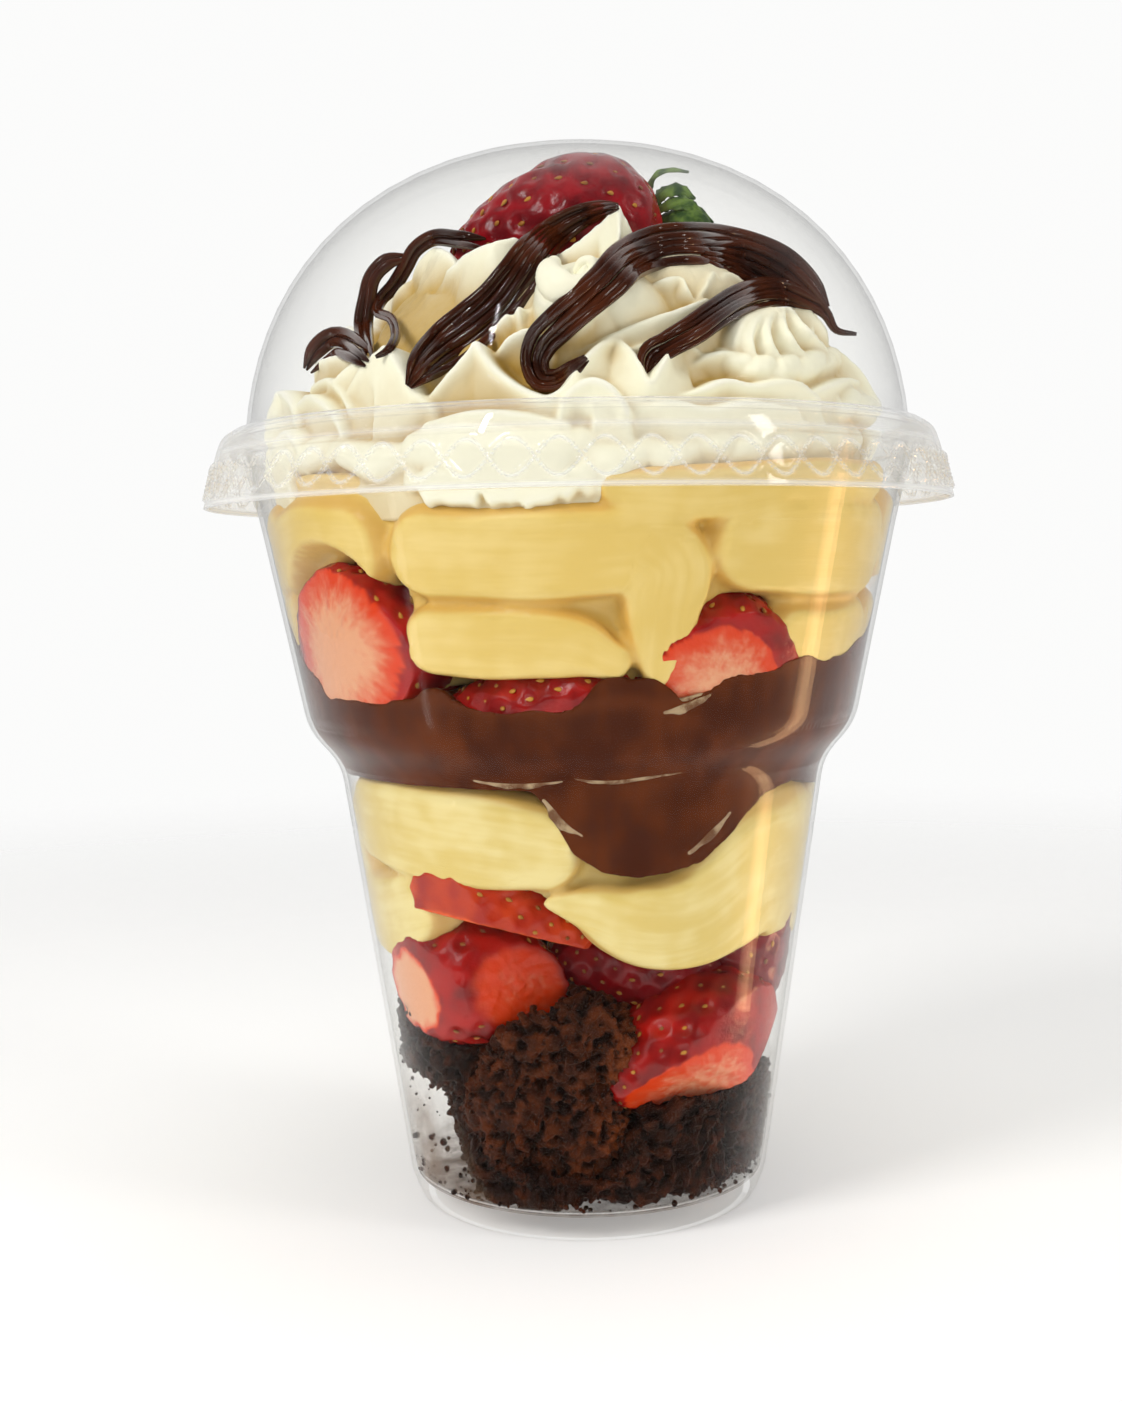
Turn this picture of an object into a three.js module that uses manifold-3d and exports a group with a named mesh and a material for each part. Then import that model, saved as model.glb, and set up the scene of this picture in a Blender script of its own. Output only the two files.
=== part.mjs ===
// Layered brigadeiro dessert in a clear stepped cup with a domed lid.
// Millimetres, +Z up, the cup's axis on Z, its foot on z = 0 and its front towards -Y.
// Angles round the cup are in degrees from the front, growing towards +X.

import * as THREE from 'three';
import { mergeVertices } from 'three/addons/utils/BufferGeometryUtils.js';
import Module from 'manifold-3d';

const wasm = await Module();
wasm.setup();

// Driving sizes of the cup and its lid
const SIDES = 32;
const WALL = 0.8;
const FOOT = { inner: 22.6, outer: 24.2, recess: 2.8 };
const HEEL = { radius: 25.75, height: 3.2 };
const WAIST = { radius: 34.45, height: 62.0 };
const SHOULDER = { radius: 39.05, height: 69.4 };
const NECK = { radius: 45.0, height: 97.4 };
const RIM = { radius: 47.0, height: 105.4, bead: 49.0, top: 107.8 };
const LID_WALL = 0.6;
const SKIRT = { radius: 52.5, height: 98.5, top: 50.7, bend: 105.5 };
const DOME = { radius: 46.75, spring: 102.24, rise: 45.6, power: 2.24, shoulder: 109.0 };

// Room kept between pieces that touch in the real dessert
const GAP = 0.3;

// The heap of whipped cream is close to the top half of this ellipsoid
const HEAP = { radius: 44.6, base: 99.5, rise: 37.0, foot: 6 };

const degrees = THREE.MathUtils.degToRad;
const lerp = THREE.MathUtils.lerp;
const point = (x, y, z) => new THREE.Vector3(x, y, z);

// A point at an angle round the cup, at a distance from the axis
function polar(angle, radius, height) {
  const turn = degrees(angle);
  return point(radius * Math.sin(turn), -radius * Math.cos(turn), height);
}

// A value that varies smoothly round the cup through a few [angle, value] stations
function around(stations) {
  const last = stations[stations.length - 1];
  const first = stations[0];
  const loop = [[last[0] - 360, last[1]], ...stations, [first[0] + 360, first[1]]];
  return (angle) => {
    const turned = THREE.MathUtils.euclideanModulo(angle - first[0], 360) + first[0];
    const next = loop.findIndex(([station]) => station > turned);
    const [from, before] = loop[next - 1];
    const [to, after] = loop[next];
    const share = (turned - from) / (to - from);
    return lerp(before, after, share * share * (3 - 2 * share));
  };
}

// Smooth lumps that never repeat, between -1 and 1
function lumps(place, size) {
  const at = (x, y, z) => {
    const wave = Math.sin(x * 127.1 + y * 311.7 + z * 74.7) * 43758.5453;
    return wave - Math.floor(wave);
  };
  const cell = place.clone().divideScalar(size);
  const corner = cell.clone().floor();
  const share = cell.sub(corner);
  let sum = 0;
  for (const i of [0, 1]) {
    for (const j of [0, 1]) {
      for (const k of [0, 1]) {
        const weight = (i ? share.x : 1 - share.x) * (j ? share.y : 1 - share.y) * (k ? share.z : 1 - share.z);
        sum += weight * at(corner.x + i, corner.y + j, corner.z + k);
      }
    }
  }
  return sum * 2 - 1;
}

// Solids

// A closed geometry as a solid that can be cut and joined
function solid(geometry) {
  const bare = geometry.clone();
  bare.deleteAttribute('normal');
  bare.deleteAttribute('uv');
  const merged = mergeVertices(bare);
  const corners = merged.index.array;
  const kept = [];
  for (let i = 0; i < corners.length; i += 3) {
    const [a, b, c] = corners.slice(i, i + 3);
    if (a !== b && b !== c && c !== a) {
      kept.push(a, b, c);
    }
  }
  const vertProperties = new Float32Array(merged.attributes.position.array);
  const mesh = new wasm.Mesh({ numProp: 3, vertProperties, triVerts: new Uint32Array(kept) });
  return new wasm.Manifold(mesh);
}

// The largest body that a cut leaves
function largest(body) {
  return body.decompose().reduce((best, piece) => (piece.volume() > best.volume() ? piece : best));
}

// A solid turned round the cup's axis from its [radius, height] outline
function revolve(outline) {
  const profile = outline.map(([radius, height]) => new THREE.Vector2(radius, height));
  profile.push(profile[0].clone());
  const geometry = new THREE.LatheGeometry(profile, SIDES);
  geometry.rotateX(Math.PI / 2);
  const body = solid(geometry);
  return body.volume() > 0 ? body : solid(geometry.scale(1, 1, -1));
}

// Rings of points joined into one closed skin, with a point at each end
function loft(rings, start, end) {
  const count = rings[0].length;
  const points = [start, ...rings.flat(), end];
  const at = (ring, step) => 1 + ring * count + (step % count);
  const faces = [];
  const last = rings.length - 1;
  for (let step = 0; step < count; step++) {
    faces.push(0, at(0, step), at(0, step + 1));
    for (let ring = 0; ring < last; ring++) {
      faces.push(at(ring, step), at(ring + 1, step), at(ring + 1, step + 1));
      faces.push(at(ring, step), at(ring + 1, step + 1), at(ring, step + 1));
    }
    faces.push(points.length - 1, at(last, step + 1), at(last, step));
  }
  const geometry = new THREE.BufferGeometry().setFromPoints(points);
  geometry.setIndex(faces);
  return solid(geometry);
}

// A row of points moved sideways by a distance, to the left of its direction
function offset(outline, distance) {
  return outline.map(([radius, height], i) => {
    const before = outline[Math.max(i - 1, 0)];
    const after = outline[Math.min(i + 1, outline.length - 1)];
    const along = new THREE.Vector2(after[0] - before[0], after[1] - before[1]).normalize();
    return [radius - along.y * distance, height + along.x * distance];
  });
}

// Cup and lid

const CUP_WALL = [
  [HEEL.radius, HEEL.height],
  [WAIST.radius, WAIST.height],
  [WAIST.radius + 0.9, WAIST.height + 2.4],
  [SHOULDER.radius - 0.8, SHOULDER.height - 2.4],
  [SHOULDER.radius, SHOULDER.height],
  [NECK.radius, NECK.height],
  [RIM.radius, RIM.height],
];
const CUP_INSIDE = offset(CUP_WALL, WALL);
const FLOOR = FOOT.recess + WALL;

function domeRadius(height) {
  const share = Math.min((height - DOME.spring) / DOME.rise, 1);
  return DOME.radius * (1 - share ** DOME.power) ** (1 / DOME.power);
}

const DOME_STEPS = 7;
const LID_OUTSIDE = [
  [SKIRT.radius, SKIRT.height],
  [SKIRT.top, SKIRT.bend],
  [SKIRT.top - 0.8, SKIRT.bend + 2.1],
  [SKIRT.top - 2.2, DOME.shoulder - 0.2],
  [domeRadius(DOME.shoulder) + 0.5, DOME.shoulder],
];
for (let step = 1; step < DOME_STEPS; step++) {
  const climb = Math.sin((step / DOME_STEPS) * (Math.PI / 2));
  const height = lerp(DOME.shoulder, DOME.spring + DOME.rise, climb);
  LID_OUTSIDE.push([domeRadius(height), height]);
}
const LID_INSIDE = offset(LID_OUTSIDE, LID_WALL);
const APEX = DOME.spring + DOME.rise;

function cupSolid() {
  const inside = [...CUP_INSIDE].reverse();
  return revolve([
    [0, FOOT.recess],
    [FOOT.inner - 0.6, FOOT.recess],
    [FOOT.inner, 0],
    [FOOT.outer, 0],
    [HEEL.radius - 0.55, HEEL.height - 2.3],
    ...CUP_WALL,
    [RIM.bead, RIM.height],
    [RIM.bead, RIM.top - 0.7],
    [RIM.bead - 0.9, RIM.top],
    [RIM.radius - 0.3, RIM.top],
    ...inside,
    [FOOT.outer - 0.6, FLOOR],
    [0, FLOOR],
  ]);
}

function lidSolid() {
  const inside = [...LID_INSIDE].reverse();
  return revolve([...LID_OUTSIDE, [0, APEX], [0, APEX - LID_WALL], ...inside]);
}

// The space that the food may fill, just inside the cup and the dome
function roomSolid() {
  const wall = offset(CUP_INSIDE, GAP).slice(0, -1);
  const dome = offset(LID_INSIDE, GAP).slice(4);
  const floor = FLOOR + GAP;
  return revolve([[0, floor], [FOOT.outer - 0.9, floor], ...wall, ...dome, [0, APEX - LID_WALL - GAP]]);
}

const ROOM = roomSolid();

// How far from the axis the food reaches at a height in the cup
const FOOD_WALL = offset(CUP_INSIDE, 1.3 * GAP);

function reach(height) {
  const found = FOOD_WALL.findIndex(([, station]) => station > height);
  const next = found < 1 ? FOOD_WALL.length - 1 : found;
  const [low, from] = FOOD_WALL[next - 1];
  const [high, to] = FOOD_WALL[next];
  return lerp(low, high, (height - from) / (to - from));
}

// Layers that run through the cup

// Where each layer ends on the wall, as [angle, height] stations, and on the axis
const LOWER_CREAM_FOOT = {
  axis: 43,
  wall: around([[-160, 41], [-120, 38], [-79, 36], [-56, 37], [-45, 45], [-20, 48], [-5, 44.5],
    [7, 39.5], [20, 37], [44, 36.5], [60, 38], [80, 43], [110, 40], [150, 43]]),
};
const LOWER_CREAM_TOP = {
  axis: 60,
  wall: around([[-170, 61], [-120, 60], [-60, 61.5], [-11, 61.3], [-2, 52], [12, 49.3], [27, 50.6],
    [40, 58], [50, 60.7], [80, 58.5], [120, 61]]),
};
const CHOCOLATE_TOP = {
  axis: 77,
  wall: around([[-170, 80], [-130, 83], [-85, 85], [-58, 74.5], [-35, 73.4], [-7, 73.2], [12, 72.2],
    [26, 74], [45, 77.5], [60, 76.5], [88, 85], [130, 82]]),
};
const WHIPPED_FOOT = {
  axis: 104,
  wall: around([[-170, 102], [-120, 101], [-51, 102.4], [-25, 98.4], [-3, 97.8], [17, 99.5],
    [40, 102.2], [62, 103.4], [120, 101.5]]),
};

// Height of a boundary between two layers
function level(boundary, share, angle) {
  return lerp(boundary.axis, boundary.wall(angle), share ** 1.5);
}

// Creases between the piped strokes of the cream, each from one [angle, height] to another
const LOWER_CREASES = [
  [[-60, 43], [-42, 50]],
  [[-12, 47], [-4, 56]],
  [[110, 45], [130, 60]],
  [[-150, 44], [-110, 56]],
];
const UPPER_CREASES = [
  [[-31, 99], [-33, 86]],
  [[-33, 85.5], [-2, 85.5]],
  [[-2, 85.5], [8, 78]],
  [[20, 98], [19, 82]],
  [[24, 85], [75, 84.5]],
  [[88, 100], [84, 86]],
  [[110, 90], [170, 92]],
  [[-165, 100], [-150, 84]],
  [[-120, 88], [-75, 90]],
];
const CREASE = { depth: 2.2, width: 3.2 };

// How deep the nearest crease cuts the wall side of the cream
function creaseDepth(creases, angle, height) {
  let depth = 0;
  for (const [from, to] of creases) {
    const millimetres = degrees(1) * reach(height);
    const here = new THREE.Vector2(angle * millimetres, height);
    const start = new THREE.Vector2(from[0] * millimetres, from[1]);
    const line = new THREE.Vector2(to[0] * millimetres, to[1]).sub(start);
    const along = THREE.MathUtils.clamp(here.clone().sub(start).dot(line) / line.lengthSq(), 0, 1);
    const away = here.distanceTo(start.addScaledVector(line, along));
    depth = Math.max(depth, CREASE.depth * Math.exp(-((away / CREASE.width) ** 2)));
  }
  return depth;
}

// The wall's own bends, which a layer that crosses the ledge follows
const LEDGE = FOOD_WALL.slice(1, 5).map(([, height]) => height).reverse();
const LAYER_SHARES = [0.5, 0.92];
const EASED_EDGE = 0.12;
const HALF_SEAM = 0.28;

// Heights of the rings that a layer has on the wall, from its top edge to its bottom edge
function wallHeights(high, low, bends, steps) {
  if (bends.length > 0) {
    return [high, (high + bends[0]) / 2, ...bends, (bends.at(-1) + low) / 2, low];
  }
  return Array.from({ length: steps + 1 }, (_, step) => lerp(high, low, step / steps));
}

// A layer between two boundaries, against the wall, with its edges eased
function layerSolid(top, bottom, { steps = 0, bends = [], creases = [] }) {
  const angles = Array.from({ length: SIDES }, (_, side) => (side * 360) / SIDES - 180);
  const ring = (make) => angles.map(make);
  const upper = (share) => ring((angle) => {
    const height = level(top, share, angle) - HALF_SEAM;
    return polar(angle, share * reach(height), height);
  });
  const lower = (share) => ring((angle) => {
    const height = level(bottom, share, angle) + HALF_SEAM;
    return polar(angle, share * reach(height), height);
  });
  const edges = (angle) => [level(top, 1, angle) - HALF_SEAM, level(bottom, 1, angle) + HALF_SEAM];
  const heights = angles.map((angle) => wallHeights(...edges(angle), bends, steps));
  const rings = LAYER_SHARES.map(upper);
  for (let step = 0; step < heights[0].length; step++) {
    const inset = step === 0 || step === heights[0].length - 1 ? EASED_EDGE : 0;
    rings.push(angles.map((angle, side) => {
      const height = heights[side][step];
      return polar(angle, reach(height) - inset - creaseDepth(creases, angle, height), height);
    }));
  }
  rings.push(...[...LAYER_SHARES].reverse().map(lower));
  return loft(rings, point(0, 0, top.axis - HALF_SEAM), point(0, 0, bottom.axis + HALF_SEAM)).intersect(ROOM);
}

// Strawberries

const BERRY_RINGS = 6;
const BERRY_SIDES = 10;

// The turn that points a shape's own +Z along a direction
function facing(direction) {
  return new THREE.Quaternion().setFromUnitVectors(point(0, 0, 1), direction.clone().normalize());
}

// A whole berry: a rounded cone, blunt at its leaf end and narrow at its tip
function wholeBerry({ centre, tip, length, width }, grow = 0) {
  const turn = facing(point(...tip));
  const place = (x, y, z) => point(x, y, z).applyQuaternion(turn).add(point(...centre));
  const long = length / 2 + grow;
  const wide = width / 2 + grow;
  const rings = [];
  for (let step = 1; step < BERRY_RINGS; step++) {
    const climb = (Math.PI * step) / BERRY_RINGS;
    const radius = wide * Math.sin(climb) * (1 - 0.3 * Math.cos(climb)) * 0.96;
    rings.push(Array.from({ length: BERRY_SIDES }, (_, side) => {
      const round = (2 * Math.PI * side) / BERRY_SIDES;
      return place(radius * Math.cos(round), radius * Math.sin(round), long * Math.cos(climb));
    }));
  }
  return loft(rings, place(0, 0, long), place(0, 0, -long));
}

// A block that takes away everything on one side of a berry's cut
function cutBlock(centre, facingOut, distance) {
  const size = 80;
  const block = new THREE.BoxGeometry(size, size, size);
  block.translate(0, 0, size / 2 + distance);
  block.applyQuaternion(facing(point(...facingOut)));
  block.translate(...centre);
  return solid(block);
}

// A berry with its flat cuts, each [direction it faces, distance from the berry's centre]
function berrySolid(berry, grow = 0) {
  let body = wholeBerry(berry, grow);
  for (const [out, distance] of berry.cuts ?? []) {
    body = body.subtract(cutBlock(berry.centre, out, distance + grow));
  }
  return body;
}

const LOWER_BERRIES = {
  strawberry_wedge: {
    centre: [13.5, -16.5, 24.5], tip: [-0.86, -0.42, -0.30], length: 29, width: 19,
    cuts: [[[0.1, 0.75, -0.65], 3.5]],
  },
  strawberry_half_left: {
    centre: [-14.0, -16.5, 34.0], tip: [0.82, -0.42, -0.12], length: 27, width: 19,
    cuts: [[[-0.86, 0.2, -0.35], 9.5]],
  },
  strawberry_slice: {
    centre: [-11.5, -22.0, 45.0], tip: [0.86, -0.33, -0.34], length: 27, width: 17,
    cuts: [[[0.28, 0.32, 0.9], 2.6], [[-0.28, -0.32, -0.9], 2.6]],
  },
  strawberry_middle: {
    centre: [7.0, -11.5, 35.2], tip: [-0.95, -0.2, 0.05], length: 28, width: 16,
  },
  strawberry_right: {
    centre: [21.0, -9.0, 39.5], tip: [0.25, -0.35, -0.9], length: 24, width: 17,
    cuts: [[[0.5, 0.8, 0.2], 5]],
  },
  strawberry_back: {
    centre: [-4.0, 17.0, 38.0], tip: [0.9, 0.3, -0.2], length: 27, width: 19,
    cuts: [[[0, -0.9, -0.4], 4]],
  },
};

const UPPER_BERRIES = {
  strawberry_upper_left: {
    centre: [-28.0, -24.5, 81.0], tip: [0.25, 0.2, -0.93], length: 26, width: 22,
    cuts: [[[-0.68, -0.72, 0.1], 4.5]],
  },
  strawberry_upper_middle: {
    centre: [-8.0, -33.5, 75.0], tip: [0.97, 0.1, 0.0], length: 26, width: 15,
    cuts: [[[0, 0, 1], 3.0]],
  },
  strawberry_upper_right: {
    centre: [17.0, -30.0, 77.0], tip: [0.30, 0.05, 0.95], length: 21, width: 24,
    cuts: [[[0.2, -0.9, -0.35], 6.5], [[0, 0, -1], 4.5]],
  },
  strawberry_upper_back: {
    centre: [10.0, 31.0, 84.0], tip: [-0.8, 0.3, -0.5], length: 27, width: 20,
    cuts: [[[0.3, 0.95, 0], 5]],
  },
  strawberry_upper_far: {
    centre: [-27.0, 19.0, 86.0], tip: [0.5, 0.5, -0.7], length: 26, width: 19,
  },
};

const TOP_BERRY = { centre: [-2.6, -8.0, 134.5], tip: [-0.96, -0.12, -0.24], length: 30, width: 21 };

// Brownie chunks

const CHUNK_RINGS = 7;
const CHUNK_SIDES = 13;

// A torn block of cake, boxy with rounded edges and craggy sides
function chunkSolid({ centre, half, turn }, grow = 0) {
  const rotation = new THREE.Quaternion().setFromEuler(new THREE.Euler(...turn.map(degrees)));
  const square = (value) => Math.sign(value) * Math.abs(value) ** 0.5;
  const place = (across, climb) => {
    const flat = square(Math.cos(climb));
    const local = point(
      (half[0] + grow) * flat * square(Math.cos(across)),
      (half[1] + grow) * flat * square(Math.sin(across)),
      (half[2] + grow) * square(Math.sin(climb)),
    );
    const crag = 1 + 0.13 * lumps(local.clone().addScalar(centre[0]), 5);
    return local.multiplyScalar(crag).applyQuaternion(rotation).add(point(...centre));
  };
  const rings = [];
  for (let step = 1; step < CHUNK_RINGS; step++) {
    const climb = Math.PI / 2 - (Math.PI * step) / CHUNK_RINGS;
    rings.push(Array.from({ length: CHUNK_SIDES }, (_, side) => {
      return place((2 * Math.PI * side) / CHUNK_SIDES - Math.PI / 2, climb);
    }));
  }
  return loft(rings, place(0, Math.PI / 2), place(0, -Math.PI / 2));
}

const BROWNIES = {
  brownie_front: { centre: [-4.5, -18.0, 21.5], half: [10.5, 7.5, 12.5], turn: [10, 18, 6] },
  brownie_base: { centre: [2.5, 0.5, 11.5], half: [22.5, 21, 7.4], turn: [0, -2, 8] },
  brownie_left: { centre: [-18.0, -10.5, 26.0], half: [7.5, 8.5, 7.0], turn: [0, 8, -20] },
  brownie_back: { centre: [-2.0, 14.5, 26.5], half: [15.5, 9.5, 7.6], turn: [4, 3, 10] },
  brownie_right: { centre: [17.0, 8.0, 29.5], half: [6.5, 8.0, 7.5], turn: [-6, 5, 25] },
};

// Whipped cream

// Peaks and curls: [angle, height, how far it stands out, how wide it is]
const PEAKS = [
  [-37, 116, 4.5, 4], [-55, 112, 3.5, 4.5], [-63, 118, 3, 4], [-18, 117, 3.5, 5],
  [5, 116, 3, 3.5], [17, 116, 3, 3.5], [-3, 124, 3.5, 4.5], [22, 131, 4.5, 4],
  [34, 116, 3, 5], [52, 111, 3, 5], [76, 124, 4, 7], [62, 131, 4, 6], [-50, 130, 3, 4.5],
  [-24, 130, 2.5, 4], [95, 113, 3.5, 5], [112, 122, 3, 5], [132, 113, 3.5, 5],
  [150, 123, 3, 5], [170, 113, 3.5, 5], [-152, 121, 3, 5], [-140, 112, 3.5, 5],
  [-112, 121, 3, 5], [-100, 111, 3.5, 5], [-82, 117, 2, 5], [-88, 125, -3, 8],
];
const STROKES = { count: 11, slant: 3.2, depth: 1.6 };

// A point of the heap's surface, raised by its peaks and by the star tip's strokes
function heapPoint(angle, height, lift = 0) {
  const climb = Math.min((height - HEAP.base) / HEAP.rise, 1);
  const radius = HEAP.radius * Math.sqrt(Math.max(1 - climb * climb, 0));
  const place = polar(angle, radius, height);
  const out = polar(angle, radius / HEAP.radius ** 2, (height - HEAP.base) / HEAP.rise ** 2).normalize();
  let raise = lift;
  for (const [turn, level, amount, width] of PEAKS) {
    const top = polar(turn, HEAP.radius * Math.sqrt(1 - ((level - HEAP.base) / HEAP.rise) ** 2), level);
    raise += amount * Math.exp(-((place.distanceTo(top) / width) ** 2));
  }
  const wave = Math.sin(degrees(angle) * STROKES.count + climb * STROKES.slant);
  const fade = Math.sin(Math.min(Math.max(climb, 0), 1) * Math.PI);
  raise += STROKES.depth * wave * fade - 1.2;
  return place.addScaledVector(out, raise);
}

const HEAP_SIDES = 44;
const HEAP_RINGS = 12;

function heapSolid() {
  const angles = Array.from({ length: HEAP_SIDES }, (_, side) => (side * 360) / HEAP_SIDES - 180);
  const rings = [];
  for (let step = 1; step < HEAP_RINGS; step++) {
    const climb = Math.cos((step / HEAP_RINGS) * (Math.PI / 2)) ** 0.9;
    const height = HEAP.base + HEAP.foot + (HEAP.rise - HEAP.foot) * climb;
    rings.push(angles.map((angle) => heapPoint(angle, height)));
  }
  for (const share of [1, 0.6]) {
    rings.push(angles.map((angle) => {
      const height = level(WHIPPED_FOOT, share, angle) + GAP / 2;
      return polar(angle, share * (reach(height) - 0.2), height);
    }));
  }
  return loft(rings, point(0, 0, HEAP.base + HEAP.rise), point(0, 0, WHIPPED_FOOT.axis + GAP / 2));
}

// Chocolate drizzle over the heap: [angle, height] stations, and the size of its section
const DRIZZLES = [
  { width: 6.5, depth: 2.6, steps: 14,
    route: [[10, 134.5], [-6, 132], [-12, 128], [-15, 123], [-19, 119], [-25, 116.5], [-30, 113]] },
  { width: 5.5, depth: 2.6, steps: 22,
    route: [[1, 114], [-3, 111.8], [-6.5, 113.5], [-3, 118], [4, 122], [14, 127], [30, 129.5],
      [48, 131], [60, 128.5], [74, 125]] },
  { width: 5.5, depth: 2.4, steps: 13,
    route: [[11, 113.5], [16, 117], [24, 120], [36, 124], [52, 126.5], [68, 124.5], [76, 121]] },
  { width: 2.2, depth: 2.2, steps: 16,
    route: [[-22, 131.5], [-42, 133], [-58, 133], [-50, 129], [-43, 124.5], [-41, 121.5], [-36, 119],
      [-37, 116]] },
  { width: 1.9, depth: 1.9, steps: 11,
    route: [[-50, 131], [-60, 129], [-53, 124], [-46, 119.5], [-47, 117], [-56, 117]] },
];
const DRIZZLE_SIDES = 5;

function drizzleSolid({ width, depth, steps, route }) {
  const stand = 0.15 * depth;
  const stations = route.map(([angle, height]) => heapPoint(angle, height, stand));
  const curve = new THREE.CatmullRomCurve3(stations);
  const rings = [];
  for (let step = 0; step <= steps; step++) {
    const along = step / steps;
    const place = curve.getPointAt(along);
    const ahead = curve.getTangentAt(along);
    const upright = point(place.x, place.y, (place.z - HEAP.base) * 1.5).normalize();
    const side = new THREE.Vector3().crossVectors(ahead, upright).normalize();
    const up = new THREE.Vector3().crossVectors(side, ahead).normalize();
    const taper = Math.min(1, 0.35 + 6 * Math.min(along, 1 - along));
    rings.push(Array.from({ length: DRIZZLE_SIDES }, (_, corner) => {
      const round = (2 * Math.PI * corner) / DRIZZLE_SIDES;
      return place.clone()
        .addScaledVector(side, (width / 2) * taper * Math.cos(round))
        .addScaledVector(up, -(depth / 2) * taper * Math.sin(round));
    }));
  }
  const body = loft(rings, curve.getPointAt(0), curve.getPointAt(1));
  return body.volume() > 0 ? body : loft(rings.map((ring) => ring.reverse()), stations[0], stations.at(-1));
}

// Leaves of the top berry

const LEAF = { count: 7, length: 6.0, root: 2.0, thick: 0.7, rings: 3, sides: 28 };

// A wavy star of leaves, bent back over the berry's shoulder
function leavesSolid() {
  const back = point(...TOP_BERRY.tip).normalize().negate();
  const turn = facing(back);
  const seat = point(...TOP_BERRY.centre).addScaledVector(back, TOP_BERRY.length / 2 + GAP + 0.4);
  const face = (height) => (share, side) => {
    const round = (2 * Math.PI * side) / LEAF.sides;
    const lobe = Math.abs(Math.cos((round * LEAF.count) / 2)) ** 1.6;
    const radius = lerp(LEAF.root, lerp(LEAF.root + 1.5, LEAF.length, lobe), share);
    const wave = 0.7 * share * Math.sin(round * 3 + 1) + 0.045 * radius * radius;
    const curl = share * lobe * 1.5 * Math.max(0, Math.sin(round + 0.6));
    return point(radius * Math.cos(round), radius * Math.sin(round), height + wave + curl)
      .applyQuaternion(turn).add(seat);
  };
  const upper = face(LEAF.thick);
  const lower = face(0);
  const ring = (make, share) => Array.from({ length: LEAF.sides }, (_, side) => make(share, side));
  const shares = Array.from({ length: LEAF.rings }, (_, step) => step / (LEAF.rings - 1));
  const rings = [
    ...shares.map((share) => ring(upper, share)),
    ...[...shares].reverse().map((share) => ring(lower, share)),
  ];
  const axis = (height) => point(0, 0, height).applyQuaternion(turn).add(seat);
  return loft(rings, axis(LEAF.thick + 0.6), axis(0));
}

// Materials

const finish = (color, roughness) => new THREE.MeshStandardMaterial({ color, roughness, metalness: 0 });
const clearPlastic = finish('#e8e9e8', 0.08);
clearPlastic.transparent = true;
clearPlastic.opacity = 0.2;
const brownieCrumb = finish('#2f1a12', 0.9);
const berrySkin = finish('#b3191c', 0.3);
const milkCream = finish('#e8cd7f', 0.35);
const paleCream = finish('#e3d191', 0.35);
const brigadeiro = finish('#4b230e', 0.25);
const whippedCream = finish('#faf4e0', 0.55);
const leafGreen = finish('#46702a', 0.6);

// Assembly

const dessert = new THREE.Group();

function place(name, body, material) {
  const mesh = body.getMesh();
  const geometry = new THREE.BufferGeometry();
  geometry.setAttribute('position', new THREE.BufferAttribute(mesh.vertProperties, 3));
  geometry.setIndex(new THREE.BufferAttribute(mesh.triVerts, 1));
  const piece = new THREE.Mesh(geometry, material);
  piece.name = name;
  dessert.add(piece);
}

place('cup', cupSolid(), clearPlastic);
place('dome_lid', lidSolid(), clearPlastic);

// Each piece gives way to the ones placed before it
const placed = [];

function settle(name, build, material, shape) {
  let body = build(shape, 0).intersect(ROOM);
  for (const cutter of placed) {
    body = body.subtract(cutter);
  }
  place(name, largest(body), material);
  placed.push(build(shape, GAP));
}

for (const [name, berry] of Object.entries(LOWER_BERRIES)) {
  settle(name, berrySolid, berrySkin, berry);
}
for (const [name, chunk] of Object.entries(BROWNIES)) {
  settle(name, chunkSolid, brownieCrumb, chunk);
}
for (const [name, berry] of Object.entries(UPPER_BERRIES)) {
  settle(name, berrySolid, berrySkin, berry);
}

function settleLayer(name, body, material) {
  const cut = placed.reduce((rest, cutter) => rest.subtract(cutter), body);
  place(name, largest(cut), material);
}

const lowerCream = layerSolid(LOWER_CREAM_TOP, LOWER_CREAM_FOOT, { steps: 4, creases: LOWER_CREASES });
const chocolate = layerSolid(CHOCOLATE_TOP, LOWER_CREAM_TOP, { bends: LEDGE });
const upperCream = layerSolid(WHIPPED_FOOT, CHOCOLATE_TOP, { steps: 5, creases: UPPER_CREASES });
settleLayer('cream_lower', lowerCream, paleCream);
settleLayer('chocolate_layer', chocolate, brigadeiro);
settleLayer('cream_upper', upperCream, milkCream);

const heap = DRIZZLES.map(drizzleSolid).reduce((body, ribbon) => body.add(ribbon), heapSolid());
const leaves = leavesSolid();
const nest = wholeBerry(TOP_BERRY, GAP);
place('whipped_cream', largest(heap.intersect(ROOM).subtract(nest)), whippedCream);
place('top_strawberry', wholeBerry(TOP_BERRY), berrySkin);
place('strawberry_leaves', leaves, leafGreen);

export default dessert;
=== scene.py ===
# %% [markdown]
# A layered brigadeiro dessert in a clear cup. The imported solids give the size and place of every
# piece, and this script dresses each of them: clear plastic, torn brownie, cut strawberries, two milk
# creams, chocolate, whipped cream and its drizzle. The frame is loaded first, because every size
# below is measured against it.

# %% Load the frame
import math

import bpy
import numpy as np
from mathutils import Matrix, Vector, noise
from mathutils.bvhtree import BVHTree
from mathutils.kdtree import KDTree


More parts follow.
